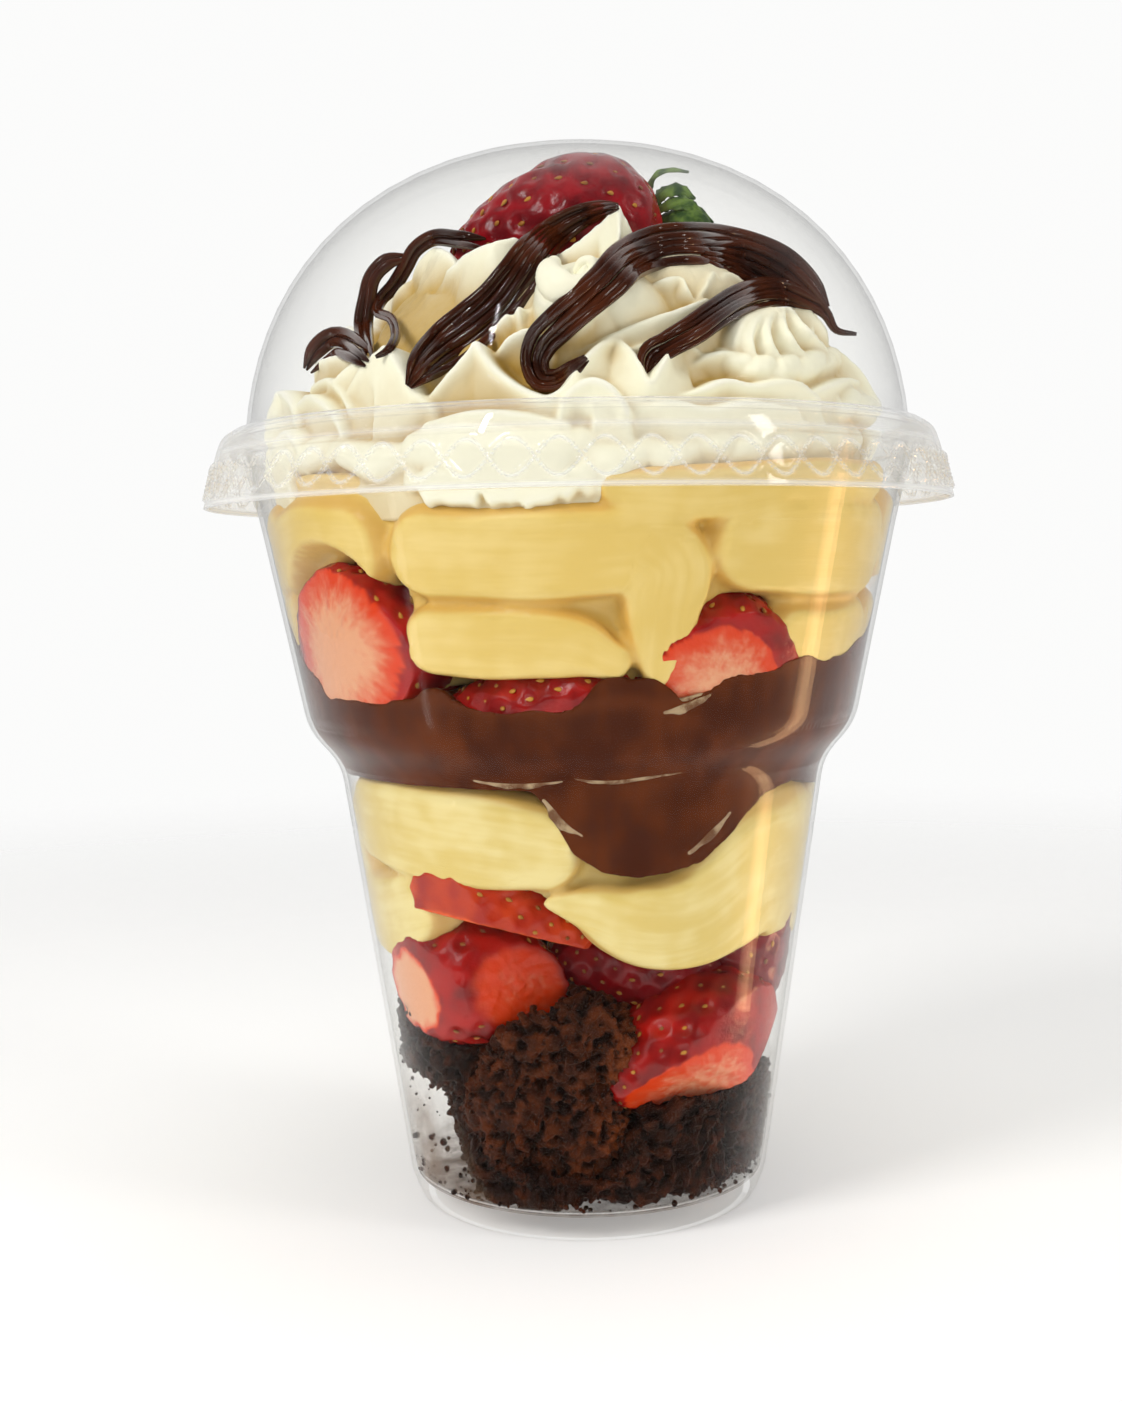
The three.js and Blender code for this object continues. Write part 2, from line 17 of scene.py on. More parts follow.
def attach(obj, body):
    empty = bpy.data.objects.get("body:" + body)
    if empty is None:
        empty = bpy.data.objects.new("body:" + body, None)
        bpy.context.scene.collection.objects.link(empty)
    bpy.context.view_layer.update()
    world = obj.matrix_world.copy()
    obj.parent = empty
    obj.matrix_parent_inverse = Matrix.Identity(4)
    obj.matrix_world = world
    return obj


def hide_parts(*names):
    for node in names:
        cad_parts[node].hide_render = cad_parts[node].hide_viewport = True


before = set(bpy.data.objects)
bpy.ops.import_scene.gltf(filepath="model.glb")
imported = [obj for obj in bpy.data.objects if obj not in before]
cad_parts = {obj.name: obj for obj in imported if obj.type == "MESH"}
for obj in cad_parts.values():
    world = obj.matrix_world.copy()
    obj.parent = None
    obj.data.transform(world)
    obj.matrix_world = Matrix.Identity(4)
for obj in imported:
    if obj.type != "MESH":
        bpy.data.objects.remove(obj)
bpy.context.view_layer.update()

# %% [markdown]
# All shapes are worked out in millimetres and made metres only when a mesh is written. Angles go
# round the cup from its front, growing to the right. Points are held in arrays, so that a whole
# surface is moved in one line.

# %% Small helpers for points and meshes
MM = 0.001


def polar(angle, radius, height):
    """Points at angles round the cup, in degrees from the front."""
    turn = np.radians(angle)
    height = np.asarray(height, float) + 0 * turn
    return np.stack([radius * np.sin(turn), -radius * np.cos(turn), height], axis=-1)


def ease(low, high, value):
    """A smooth step from 0 at low to 1 at high."""
    share = np.clip((np.asarray(value, float) - low) / (high - low), 0, 1)
    return share * share * (3 - 2 * share)


def unit(vectors):
    """Vectors at length one."""
    vectors = np.asarray(vectors, float)
    return vectors / np.maximum(np.linalg.norm(vectors, axis=-1, keepdims=True), 1e-9)


def lumps(points, size, octaves=3, seed=0.0):
    """Smooth noise at points, about -1 to 1, with lumps of a size in millimetres."""
    scaled = np.asarray(points, float).reshape(-1, 3) / size + seed
    return np.array([noise.fractal(Vector(p), 1.0, 2.0, octaves) for p in scaled])


def skin_of_rings(rings, start=None, end=None):
    """Points and faces of a closed skin through rings of points, with a point at each end."""
    rings = np.asarray(rings, float)
    count, sides = rings.shape[:2]
    start = rings[0].mean(axis=0) if start is None else start
    end = rings[-1].mean(axis=0) if end is None else end
    points = np.vstack([rings.reshape(-1, 3), [start, end]])
    faces = []
    for side in range(sides):
        after = (side + 1) % sides
        faces.append((count * sides, side, after))
        faces.append((count * sides + 1, (count - 1) * sides + after, (count - 1) * sides + side))
    step = np.arange(count - 1)[:, None] * sides
    here = np.arange(sides)[None, :]
    after = (here + 1) % sides
    quads = np.stack([step + here, step + sides + here, step + sides + after, step + after], axis=-1)
    faces.extend(map(tuple, quads.reshape(-1, 4).tolist()))
    return points, faces


def new_mesh(name, points, faces):
    """A mesh in metres from points in millimetres."""
    mesh = bpy.data.meshes.new(name)
    mesh.from_pydata((np.asarray(points) * MM).tolist(), [], faces)
    mesh.update()
    return mesh


def face_out(mesh):
    """Turn a closed mesh the right way if its faces point inwards."""
    mesh.calc_loop_triangles()
    corners = np.empty(len(mesh.loop_triangles) * 3, int)
    mesh.loop_triangles.foreach_get("vertices", corners)
    places = points_of(mesh)[corners].reshape(-1, 3, 3)
    volume = np.einsum("ij,ij->", places[:, 0], np.cross(places[:, 1], places[:, 2]))
    if volume < 0:
        mesh.flip_normals()


def points_of(mesh):
    """A mesh's points in millimetres."""
    flat = np.empty(len(mesh.vertices) * 3)
    mesh.vertices.foreach_get("co", flat)
    return flat.reshape(-1, 3) / MM


def put_points(mesh, points):
    """Write points in millimetres back to a mesh."""
    mesh.vertices.foreach_set("co", (np.asarray(points) * MM).ravel())
    mesh.update()


def mark(mesh, name, values):
    """Keep a number for each point, for a finish to read."""
    layer = mesh.attributes.new(name, "FLOAT", "POINT")
    layer.data.foreach_set("value", np.asarray(values, float).ravel())


def add_piece(name, mesh, finish, slot, *nodes):
    """Put a mesh in the scene as a piece that stands for one or more nodes."""
    if finish is not None:
        mesh.materials.clear()
        mesh.materials.append(finish)
    mesh.shade_smooth()
    piece = bpy.data.objects.new(name, mesh)
    bpy.context.scene.collection.objects.link(piece)
    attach(piece, "root")
    if nodes:
        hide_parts(*nodes)
    print(f"{name}: {len(mesh.polygons)} faces")
    return piece


def welded(meshes, voxel, relax=2):
    """Closed shapes melted into one skin by a voxel remesh, in millimetres."""
    points, faces, base = [], [], 0
    for part_points, part_faces in meshes:
        points.append(np.asarray(part_points))
        faces.extend([tuple(corner + base for corner in face) for face in part_faces])
        base += len(part_points)
    mesh = new_mesh("blank", np.vstack(points), faces)
    blank = bpy.data.objects.new("blank", mesh)
    bpy.context.scene.collection.objects.link(blank)
    melt = blank.modifiers.new("melt", "REMESH")
    melt.mode = "VOXEL"
    melt.voxel_size = voxel * MM
    melt.use_smooth_shade = True
    if relax:
        soften = blank.modifiers.new("soften", "SMOOTH")
        soften.factor = 0.5
        soften.iterations = relax
    bpy.context.view_layer.update()
    ready = blank.evaluated_get(bpy.context.evaluated_depsgraph_get())
    result = bpy.data.meshes.new_from_object(ready)
    bpy.data.objects.remove(blank)
    bpy.data.meshes.remove(mesh)
    return result


# %% [markdown]
# The camera stands where the photograph's camera stood: a quarter of a metre in front of the cup and
# a little above its middle, looking down by four degrees. It is set now, because a few strokes of
# cream and drizzle are placed along its lines of sight.

# %% Camera
PHOTO_WIDTH, PHOTO_HEIGHT = 1122, 1402
FOCAL_PIXELS = 1739.0
CAMERA_AT = np.array([-2.9, -250.0, 87.7])
PITCH, ROLL = math.radians(3.92), math.radians(-1.0)
SENSOR = 36.0

camera_data = bpy.data.cameras.new("camera")
camera_data.sensor_width = SENSOR
camera_data.lens = FOCAL_PIXELS * SENSOR / PHOTO_HEIGHT
camera_data.clip_start = 0.01
camera = bpy.data.objects.new("camera", camera_data)
camera.matrix_world = (
    Matrix.Translation(CAMERA_AT * MM)
    @ Matrix.Rotation(math.pi / 2 - PITCH, 4, "X")
    @ Matrix.Rotation(ROLL, 4, "Z")
)
bpy.context.scene.collection.objects.link(camera)
bpy.context.scene.camera = camera


def sight(across, down):
    """Direction of the line of sight through a pixel of the photograph."""
    local = Vector(((across - PHOTO_WIDTH / 2) / FOCAL_PIXELS, (PHOTO_HEIGHT / 2 - down) / FOCAL_PIXELS, -1))
    return np.array((camera.matrix_world.to_3x3() @ local).normalized())


print("lens", round(camera_data.lens, 2), "mm")

# %% [markdown]
# Materials are node trees. Written node by node they are long, so a small class wraps a socket and
# lets it take part in sums: each operator adds one Math node. Everything else comes from one method
# that makes a node, sets it up and joins its sockets.

# %% A socket that can be added and multiplied


class Wire:
    def __init__(self, finish, socket):
        self.finish = finish
        self.socket = socket

    def maths(self, operation, *values):
        inputs = dict(enumerate(values))
        return self.finish.node("ShaderNodeMath", {"operation": operation}, inputs)

    def __add__(self, other):
        return self.maths("ADD", self, other)

    def __radd__(self, other):
        return self.maths("ADD", other, self)

    def __sub__(self, other):
        return self.maths("SUBTRACT", self, other)

    def __rsub__(self, other):
        return self.maths("SUBTRACT", other, self)

    def __mul__(self, other):
        return self.maths("MULTIPLY", self, other)

    def __rmul__(self, other):
        return self.maths("MULTIPLY", other, self)

    def __truediv__(self, other):
        return self.maths("DIVIDE", self, other)

    def __pow__(self, other):
        return self.maths("POWER", self, other)


class Finish:
    """A material with one method that makes any node."""

    def __init__(self, name):
        self.material = bpy.data.materials.new(name)
        self.material.use_nodes = True
        self.tree = self.material.node_tree
        self.tree.nodes.clear()

    def node(self, kind, settings=None, inputs=None, output=0):
        made = self.tree.nodes.new(kind)
        for key, value in (settings or {}).items():
            if key == "stops":
                for stop, (place, colour) in zip(made.color_ramp.elements, value):
                    stop.position, stop.color = place, colour
            else:
                setattr(made, key, value)
        for key, value in (inputs or {}).items():
            if isinstance(value, Wire):
                self.tree.links.new(value.socket, made.inputs[key])
            else:
                made.inputs[key].default_value = value
        return None if output is None else Wire(self, made.outputs[output])

    def place(self):
        return self.node("ShaderNodeTexCoord", output="Object")

    def grain(self, size, detail=3.0, place=None, rough=0.55, warp=0.0):
        """Noise with lumps of a size in millimetres."""
        inputs = {"Vector": place or self.place(), "Scale": 1 / (size * MM), "Detail": detail,
                  "Roughness": rough, "Distortion": warp}
        return self.node("ShaderNodeTexNoise", None, inputs)

    def mark(self, name):
        return self.node("ShaderNodeAttribute", {"attribute_name": name}, output="Fac")

    def step(self, value, low, high, start=0.0, end=1.0):
        inputs = {"Value": value, "From Min": low, "From Max": high, "To Min": start, "To Max": end}
        return self.node("ShaderNodeMapRange", {"interpolation_type": "SMOOTHSTEP"}, inputs)

    def blend(self, share, first, second):
        return self.node("ShaderNodeMix", {"data_type": "RGBA"}, {0: share, 6: first, 7: second}, 2)

    def bump(self, height, strength, distance):
        inputs = {"Height": height, "Strength": strength, "Distance": distance * MM}
        return self.node("ShaderNodeBump", None, inputs)

    def surface(self, shader):
        self.node("ShaderNodeOutputMaterial", None, {"Surface": shader}, None)
        return self.material

    def principled(self, **sockets):
        names = {key.replace("_", " "): value for key, value in sockets.items()}
        return self.node("ShaderNodeBsdfPrincipled", None, names)


def colour(red, green, blue):
    """A colour seen as 0 to 255 values, as the linear colour that a shader takes."""
    seen = np.array([red, green, blue]) / 255
    linear = np.where(seen <= 0.04045, seen / 12.92, ((seen + 0.055) / 1.055) ** 2.4)
    return (*linear.tolist(), 1.0)


# %% [markdown]
# The stage is a pale floor that fades away with distance into an equally pale world, so that no
# horizon crosses the picture behind clear plastic. The light is soft: a large panel on each side and
# one overhead. Clear plastic shows itself only by what it reflects, so what it reflects is planned
# as well: bright panels for long highlights, and a dimmer room between them for its grey edges.

# %% Floor, world and lights
FLOOR_SIZE = 3000.0
FLOOR_FADE = (120.0, 520.0)

floor_mesh = new_mesh("floor", polar(np.arange(0, 360, 3.75), FLOOR_SIZE, 0.0), [tuple(range(96))])
floor = bpy.data.objects.new("floor", floor_mesh)
bpy.context.scene.collection.objects.link(floor)

paper = Finish("pale_floor")
away = paper.node("ShaderNodeVectorMath", {"operation": "LENGTH"}, {0: paper.place()}, "Value")
fade = paper.step(away, FLOOR_FADE[0] * MM, FLOOR_FADE[1] * MM)
sheet = paper.principled(
    Base_Color=(0.9, 0.9, 0.895, 1), Roughness=0.9, Specular_IOR_Level=0.1,
    Emission_Color=(1, 1, 1, 1), Emission_Strength=0.28)
clear = paper.node("ShaderNodeBsdfTransparent")
floor_mesh.materials.append(paper.surface(paper.node("ShaderNodeMixShader", None, {0: fade, 1: sheet, 2: clear})))

world = bpy.data.worlds.new("studio")
bpy.context.scene.world = world
world.use_nodes = True
air = world.node_tree
air.nodes.clear()


def background(tint, strength):
    made = air.nodes.new("ShaderNodeBackground")
    made.inputs["Color"].default_value = (*tint, 1)
    made.inputs["Strength"].default_value = strength
    return made


def chosen(by, first, second):
    made = air.nodes.new("ShaderNodeMixShader")
    air.links.new(by, made.inputs[0])
    air.links.new(first.outputs[0], made.inputs[1])
    air.links.new(second.outputs[0], made.inputs[2])
    return made


ray = air.nodes.new("ShaderNodeLightPath")
way = air.nodes.new("ShaderNodeTexCoord")
split = air.nodes.new("ShaderNodeSeparateXYZ")
behind = air.nodes.new("ShaderNodeMapRange")
behind.interpolation_type = "SMOOTHSTEP"
behind.inputs["From Min"].default_value = -0.3
behind.inputs["From Max"].default_value = 0.9
air.links.new(way.outputs["Generated"], split.inputs[0])
air.links.new(split.outputs["Y"], behind.inputs["Value"])
mirrored = chosen(
    behind.outputs[0], background((1.0, 0.98, 0.95), 0.07), background((1.0, 1.0, 1.0), 0.72))
around_food = chosen(ray.outputs["Is Glossy Ray"], background((1.0, 0.99, 0.97), 0.34), mirrored)
all_seen = chosen(ray.outputs["Is Camera Ray"], around_food, background((0.97, 0.97, 0.965), 1.0))
world_out = air.nodes.new("ShaderNodeOutputWorld")
air.links.new(all_seen.outputs[0], world_out.inputs["Surface"])

LIGHTS = {
    "left_panel": {"at": (-420, -330, 420), "size": (200, 260), "power": 2.0, "tint": (1, 0.985, 0.96)},
    "right_panel": {"at": (560, -260, 260), "size": (160, 420), "power": 1.1, "tint": (1, 0.97, 0.93)},
    "top_panel": {"at": (60, -60, 620), "size": (420, 320), "power": 0.75, "tint": (1, 1, 1)},
    "front_fill": {"at": (120, -860, 100), "size": (420, 300), "power": 0.85, "tint": (1, 0.99, 0.97)},
}
# Panels that are seen only as glints
GLINTS = {
    "warm_glint": {"at": (90, -14, 48), "size": (11, 94), "power": 0.032, "tint": (1, 0.60, 0.30)},
    "left_glint": {"at": (-130, -80, 70), "size": (6, 130), "power": 0.02, "tint": (1, 1, 1)},
    "key_glint": {"at": (-190, -330, 400), "size": (9, 110), "power": 0.34, "tint": (1, 1, 1)},
    "side_glint": {"at": (330, -200, 300), "size": (40, 140), "power": 0.12, "tint": (1, 0.98, 0.95)},
}
AIM = Vector((0, 0, 85 * MM))


def add_light(name, at, size, power, tint):
    """A soft rectangular panel that faces the cup."""
    data = bpy.data.lights.new(name, "AREA")
    data.shape = "RECTANGLE"
    data.size, data.size_y = size[0] * MM, size[1] * MM
    data.energy = power
    data.color = tint
    light = bpy.data.objects.new(name, data)
    spot = Vector(at) * MM
    light.matrix_world = Matrix.Translation(spot) @ (AIM - spot).to_track_quat("-Z", "Y").to_matrix().to_4x4()
    bpy.context.scene.collection.objects.link(light)
    return light


for light_name, light_values in LIGHTS.items():
    add_light(light_name, **light_values).visible_glossy = False
for light_name, light_values in GLINTS.items():
    glint = add_light(light_name, **light_values)
    glint.visible_camera = False
    glint.visible_diffuse = False
    glint.visible_transmission = False
bpy.context.scene.view_settings.view_transform = "Standard"
rays = bpy.context.scene.cycles
rays.max_bounces, rays.diffuse_bounces, rays.glossy_bounces = 5, 2, 2
rays.transparent_max_bounces = 24
rays.use_adaptive_sampling, rays.adaptive_threshold = True, 0.04
print("lights:", list(LIGHTS))

# %% [markdown]
# The cup and its lid are thin shells of clear plastic. Real refraction in a wall half a millimetre
# thick shifts nothing that the eye can see, so the walls are see-through with a reflection that
# grows towards grazing angles, which keeps the picture quick and clean. Both are turned from an
# outline whose corners are rounded by arcs, and the lid's skirt is pressed with a chain of crossed
# ridges.

# %% Outlines of cup and lid
WALL, LID_WALL = 0.6, 0.5


def rounded(corners, steps=5):
    """An outline through [radius, height, rounding] corners, each rounded by a curve."""
    places = np.array([corner[:2] for corner in corners], float)
    line = [places[0]]
    for i in range(1, len(corners) - 1):
        before, here, after = places[i - 1], places[i], places[i + 1]
        room_here = min(corners[i][2], np.linalg.norm(here - before) * 0.49, np.linalg.norm(after - here) * 0.49)
        start = here + unit(before - here) * room_here
        finish = here + unit(after - here) * room_here
        for share in np.linspace(0, 1, steps):
            line.append((1 - share) ** 2 * start + 2 * share * (1 - share) * here + share**2 * finish)
    line.append(places[-1])
    return np.array(line)


def inset(line, distance):
    """An outline moved sideways, to the left of its direction."""
    along = unit(np.gradient(line, axis=0))
    return line + distance * np.stack([-along[:, 1], along[:, 0]], axis=1)


CUP_SIDE = rounded([
    (22.6, 0.0, 0), (24.3, 0.0, 1.2), (25.75, 3.4, 1.4), (34.55, 62.6, 2.6), (38.95, 67.6, 2.4),
    (45.0, 97.4, 12.0), (47.0, 105.2, 0.6), (48.6, 105.3, 0.7), (49.0, 107.6, 1.1), (47.0, 107.9, 0.8),
    (46.5, 106.4, 0.5),
])
WALL_ROWS = CUP_SIDE[(CUP_SIDE[:, 1] > 3.0) & (CUP_SIDE[:, 1] < 105.0) & (CUP_SIDE[:, 0] < 47.2)]
WALL_ROWS = WALL_ROWS[np.argsort(WALL_ROWS[:, 1])]


def wall(height):
    """The inside radius of the cup at a height."""
    return np.interp(height, WALL_ROWS[:, 1], WALL_ROWS[:, 0]) - WALL


def turned(line, sides):
    """Rings of points that turn an outline round the cup's axis."""
    angles = np.arange(sides) * 360 / sides
    return np.array([polar(angles, radius, height) for radius, height in line])




def clear_plastic(name, mirror_base, edge_share, edge_power, haze):
    """A see-through wall: it mirrors more towards its edges, where it also turns grey or milky."""
    plastic = Finish(name)
    facing = plastic.node("ShaderNodeLayerWeight", None, {"Blend": 0.5}, "Facing")
    film = plastic.node("ShaderNodeBsdfTransparent", None, {"Color": (0.985, 0.985, 0.98, 1)})
    if haze:
        edge = plastic.node("ShaderNodeBsdfDiffuse", None, {"Color": (0.95, 0.95, 0.94, 1)})
        # Painted highlight lines: the marked lines add a whiter, milky share.
        share = (facing**edge_power) * edge_share + plastic.mark("line") * 0.4 + haze
    else:
        edge = plastic.node("ShaderNodeBsdfTransparent", None, {"Color": (0.66, 0.655, 0.64, 1)})
        share = (facing**edge_power) * edge_share
    body = plastic.node("ShaderNodeMixShader", None, {0: share, 1: film, 2: edge})
    gloss = plastic.node("ShaderNodeBsdfGlossy", None, {"Color": (1, 1, 1, 1), "Roughness": 0.03})
    mirror = (facing**5) * 0.75 + mirror_base
    plastic.surface(plastic.node("ShaderNodeMixShader", None, {0: mirror, 1: body, 2: gloss}))
    return plastic.material


thin_plastic = clear_plastic("clear_plastic", 0.0025, 0.75, 6, 0)
dome_plastic = clear_plastic("dome_plastic", 0.0025, 0.45, 6, 0)
pressed_plastic = clear_plastic("pressed_plastic", 0.03, 0.3, 3, 0.075)

# %% The cup
CUP_SIDES = 256
FLOOR_TOP = 3.6
inner_side = inset(CUP_SIDE[(CUP_SIDE[:, 1] > 3.6) & (CUP_SIDE[:, 1] < 104.5) & (CUP_SIDE[:, 0] < 47.2)], WALL)
cup_line = np.vstack([
    [(3.0, 2.8), (21.2, 2.8), (22.0, 2.2), (22.6, 0.4)], CUP_SIDE, inner_side[::-1],
    [(24.9, 4.6), (24.0, 3.8), (22.5, FLOOR_TOP), (3.0, FLOOR_TOP)],
])
cup_points, cup_faces = skin_of_rings(turned(cup_line, CUP_SIDES), (0, 0, 2.8), (0, 0, FLOOR_TOP))
cup_mesh = new_mesh("clear_cup", cup_points, cup_faces)
face_out(cup_mesh)
cup = add_piece("clear_cup", cup_mesh, thin_plastic, "clear_cup", "cup")
cup.visible_shadow = cup.visible_diffuse = False

# %% The lid, with the crossed ridges on its skirt
DOME = {"radius": 46.75, "spring": 102.24, "rise": 45.6, "power": 2.24, "shoulder": 109.0}
SKIRT = {"bottom": (52.5, 98.5), "top": (50.75, 105.4), "ridge": 0.5, "wave": 2.2, "lenses": 60, "height": 102.0}
LID_SIDES = 900


def dome_radius(height):
    """The outside radius of the dome at a height."""
    share = np.clip((height - DOME["spring"]) / DOME["rise"], 0, 1)
    return DOME["radius"] * (1 - share ** DOME["power"]) ** (1 / DOME["power"])


skirt_side = rounded([(*SKIRT["bottom"], 0), (*SKIRT["top"], 1.0), (49.9, 107.9, 1.2), (48.2, 108.9, 0.8)])
fine_skirt = np.linspace(SKIRT["bottom"], skirt_side[2], 26)
climb = np.sin(np.linspace(0, math.pi / 2, 19))[:-1]
dome_heights = DOME["shoulder"] + (DOME["spring"] + DOME["rise"] - DOME["shoulder"]) * climb
dome_side = np.stack([dome_radius(dome_heights), dome_heights], axis=1)
lid_out = np.vstack([fine_skirt[:-1], skirt_side[2:], [(47.2, 108.95)], dome_side])
lid_in = inset(lid_out, LID_WALL)
lid_line = np.vstack([lid_in[::-1], lid_out])
rings = turned(lid_line, LID_SIDES)


def emboss(rings):
    """Press crossed ridges into both faces of the skirt, and tell where its ridges and edges are, which get painted
    highlight lines.
    """
    around = np.arange(LID_SIDES) * 2 * math.pi / LID_SIDES
    wave = SKIRT["wave"] * np.sin(around * SKIRT["lenses"] / 2)
    height, radius = rings[..., 2], np.hypot(rings[..., 0], rings[..., 1])
    on_skirt = (radius > 49.6) & (height < 105.6)
    ridge = 0
    for curve in (SKIRT["height"] + wave, SKIRT["height"] - wave):
        ridge = np.maximum(ridge, np.exp(-(((height - curve[None, :]) / 0.26) ** 2)))
    push = 1 + on_skirt * SKIRT["ridge"] * ridge / np.maximum(radius, 1)
    raised = rings.copy()
    raised[..., :2] *= push[..., None]
    # Painted highlight lines along the ridges and at three edges.
    line = on_skirt * ridge**3 + (radius > 46.6) * sum(
        share * np.exp(-(((height - at) / 0.3) ** 2)) for at, share in ((98.8, 0.8), (105.7, 0.5), (108.9, 0.7)))
    return raised, line


apex = DOME["spring"] + DOME["rise"]
lid_rings, lid_highlight_lines = emboss(rings)
lid_points, lid_faces = skin_of_rings(lid_rings, (0, 0, apex - LID_WALL), (0, 0, apex))
lid_mesh = new_mesh("clear_lid", lid_points, lid_faces)
mark(lid_mesh, "line", np.append(np.minimum(lid_highlight_lines, 1).reshape(-1), [0, 0]))
face_out(lid_mesh)
lid = add_piece("clear_lid", lid_mesh, dome_plastic, "clear_lid", "dome_lid")
lid.visible_shadow = lid.visible_diffuse = False
lid_mesh.materials.append(pressed_plastic)
for face in lid_mesh.polygons:
    face.material_index = int(face.center.z < 108.9 * MM)

# %% [markdown]
# The creams were piped in thick strokes and pressed flat against the cup. Each stroke is a tube
# along a smooth line; the tubes and a core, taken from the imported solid, are melted into one skin,
# and points that would leave the cup are brought back to its wall. Every point then remembers how
# far it lies along and across its stroke, so that the finish can draw streaks that follow the
# nozzle.

# %% Helpers for strokes
def packed(node):
    """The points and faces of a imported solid."""
    mesh = bpy.data.objects[node].data
    return points_of(mesh), [tuple(face.vertices) for face in mesh.polygons]


def radius_of(points):
    return np.hypot(points[..., 0], points[..., 1])


def to_wall(points, gap, pull=0.0):
    """Bring points that would leave the cup back to its wall; pull those nearer than pull up to it."""
    limit = wall(points[..., 2]) - gap
    radius = np.maximum(radius_of(points), 1e-6)
    wanted = np.where(radius > limit - pull, limit, radius)
    moved = points.copy()
    moved[..., :2] *= (wanted / radius)[..., None]
    return moved


def smooth_line(rows, step=0.8):
    """A curve through rows of numbers, of which the first three are a place."""
    rows = np.asarray(rows, float)
    gaps = np.linalg.norm(np.diff(rows[:, :3], axis=0), axis=1)
    at = np.concatenate([[0], np.cumsum(gaps)])
    slope = np.gradient(rows, at, axis=0)
    want = np.linspace(0, at[-1], max(4, int(at[-1] / step) + 1))
    part = np.clip(np.searchsorted(at, want, side="right") - 1, 0, len(gaps) - 1)
    span = gaps[part][:, None]
    t = (want[:, None] - at[part][:, None]) / span
    here, there = rows[part], rows[part + 1]
    return (
        (2 * t**3 - 3 * t**2 + 1) * here + (t**3 - 2 * t**2 + t) * span * slope[part]
        + (3 * t**2 - 2 * t**3) * there + (t**3 - t**2) * span * slope[part + 1]
    )


def boxed(values, power):
    """Sines or cosines pushed towards a box for powers below one."""
    return np.sign(values) * np.abs(values) ** power


def tube(line, outward, wide, deep, lobes=0, bite=0.0, twist=0.0, sides=28, box=1.0):
    """A closed tube along a line. Lobes bite grooves into it, which wind along it by twist."""
    along = unit(np.gradient(line, axis=0))
    outward = unit(outward - (outward * along).sum(1, keepdims=True) * along)
    travelled = np.concatenate([[0], np.cumsum(np.linalg.norm(np.diff(line, axis=0), axis=1))])
    pick = np.concatenate([np.zeros(5, int), np.arange(len(line)), np.full(5, len(line) - 1)])
    push = np.concatenate([[-82, -64, -46, -28, -10], np.zeros(len(line)), [10, 28, 46, 64, 82]])
    shrink = np.cos(np.radians(push))
    centre = line[pick] + along[pick] * (np.sin(np.radians(push)) * wide[pick])[:, None]
    across = np.cross(along, outward)[pick]
    out = outward[pick]
    turn = np.arange(sides) * 2 * math.pi / sides
    groove = np.ones((len(pick), sides))
    if lobes:
        wound = turn[None, :] * lobes / 2 + travelled[pick][:, None] * twist
        groove = 1 - bite * np.abs(np.sin(wound)) ** 0.8
    wide_now = (wide[pick] * shrink)[:, None] * groove * boxed(np.cos(turn), box)
    deep_now = (deep[pick] * shrink)[:, None] * groove * boxed(np.sin(turn), box)
    return skin_of_rings(
        centre[:, None] + across[:, None] * wide_now[..., None] + out[:, None] * deep_now[..., None]
    )


def radial(points):
    """The way out from the cup's axis."""
    flat = points * np.array([1, 1, 0])
    return unit(flat)


def wall_stroke(stations, gap, depth=5.2):
    """A tube pressed against the wall, through stations of angle, height and half height."""
    stations = np.array(stations, float)
    heights = stations[:, 1]
    thick = np.minimum(depth, stations[:, 2] * 0.95)
    places = polar(stations[:, 0], wall(heights) - thick * 0.78, heights)
    rows = smooth_line(np.column_stack([places, stations[:, 2], thick]))
    line, wide, deep = rows[:, :3], np.maximum(rows[:, 3], 0.3), np.maximum(rows[:, 4], 0.3)
    points, faces = tube(line, radial(line), wide, deep, sides=40, box=0.72)
    return {"skin": (to_wall(points, gap), faces), "line": line, "wide": wide}


def mark_strokes(mesh, strokes):
    """Mark how far each point lies along and across its nearest stroke, and how far in from the wall it lies, where
    creases get painted shade.
    """
    points = points_of(mesh)
    places = np.vstack([stroke["line"] for stroke in strokes])
    starts, along, across, wide = [], [], [], []
    for number, stroke in enumerate(strokes):
        line = stroke["line"]
        step = np.linalg.norm(np.diff(line, axis=0), axis=1)
        starts.append(np.concatenate([[0], np.cumsum(step)]) + 57.0 * number)
        ahead = unit(np.gradient(line, axis=0))
        along.append(ahead)
        across.append(np.cross(ahead, radial(line)))
        wide.append(stroke["wide"])
    starts, along = np.concatenate(starts), np.vstack(along)
    across, wide = np.vstack(across), np.concatenate(wide)
    tree = KDTree(len(places))
    for index, place in enumerate(places):
        tree.insert(place, index)
    tree.balance()
    nearest = np.array([tree.find(point)[1] for point in points])
    away = points - places[nearest]
    mark(mesh, "along", starts[nearest] + (away * along[nearest]).sum(1))
    mark(mesh, "across", (away * across[nearest]).sum(1))
    depth = wall(points[:, 2]) - radius_of(points)
    # Painted shade: a band a little way in from the wall, where strokes meet in creases, weaker deeper in.
    mark(mesh, "crease_shade", ease(0.2, 1.0, depth) * (1 - 0.6 * ease(1.0, 3.5, depth)))


def piped_cream(name, node, slot, strokes, gap, core_in, voxel, finish, hollows=()):
    """A layer of cream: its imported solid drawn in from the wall, melted with its strokes."""
    core, faces = packed(node)
    inner = to_wall(core, core_in)
    mesh = welded([(inner, faces)] + [stroke["skin"] for stroke in strokes], voxel)
    points = to_wall(points_of(mesh), gap, 0.12)
    for centre, half in hollows:
        away = np.linalg.norm((points - centre) / half, axis=1)
        points -= radial(points) * (3.6 * ease(1.1, 0.94, away))[:, None]
    put_points(mesh, points)
    mark_strokes(mesh, strokes)
    return add_piece(name, mesh, finish, slot, node)


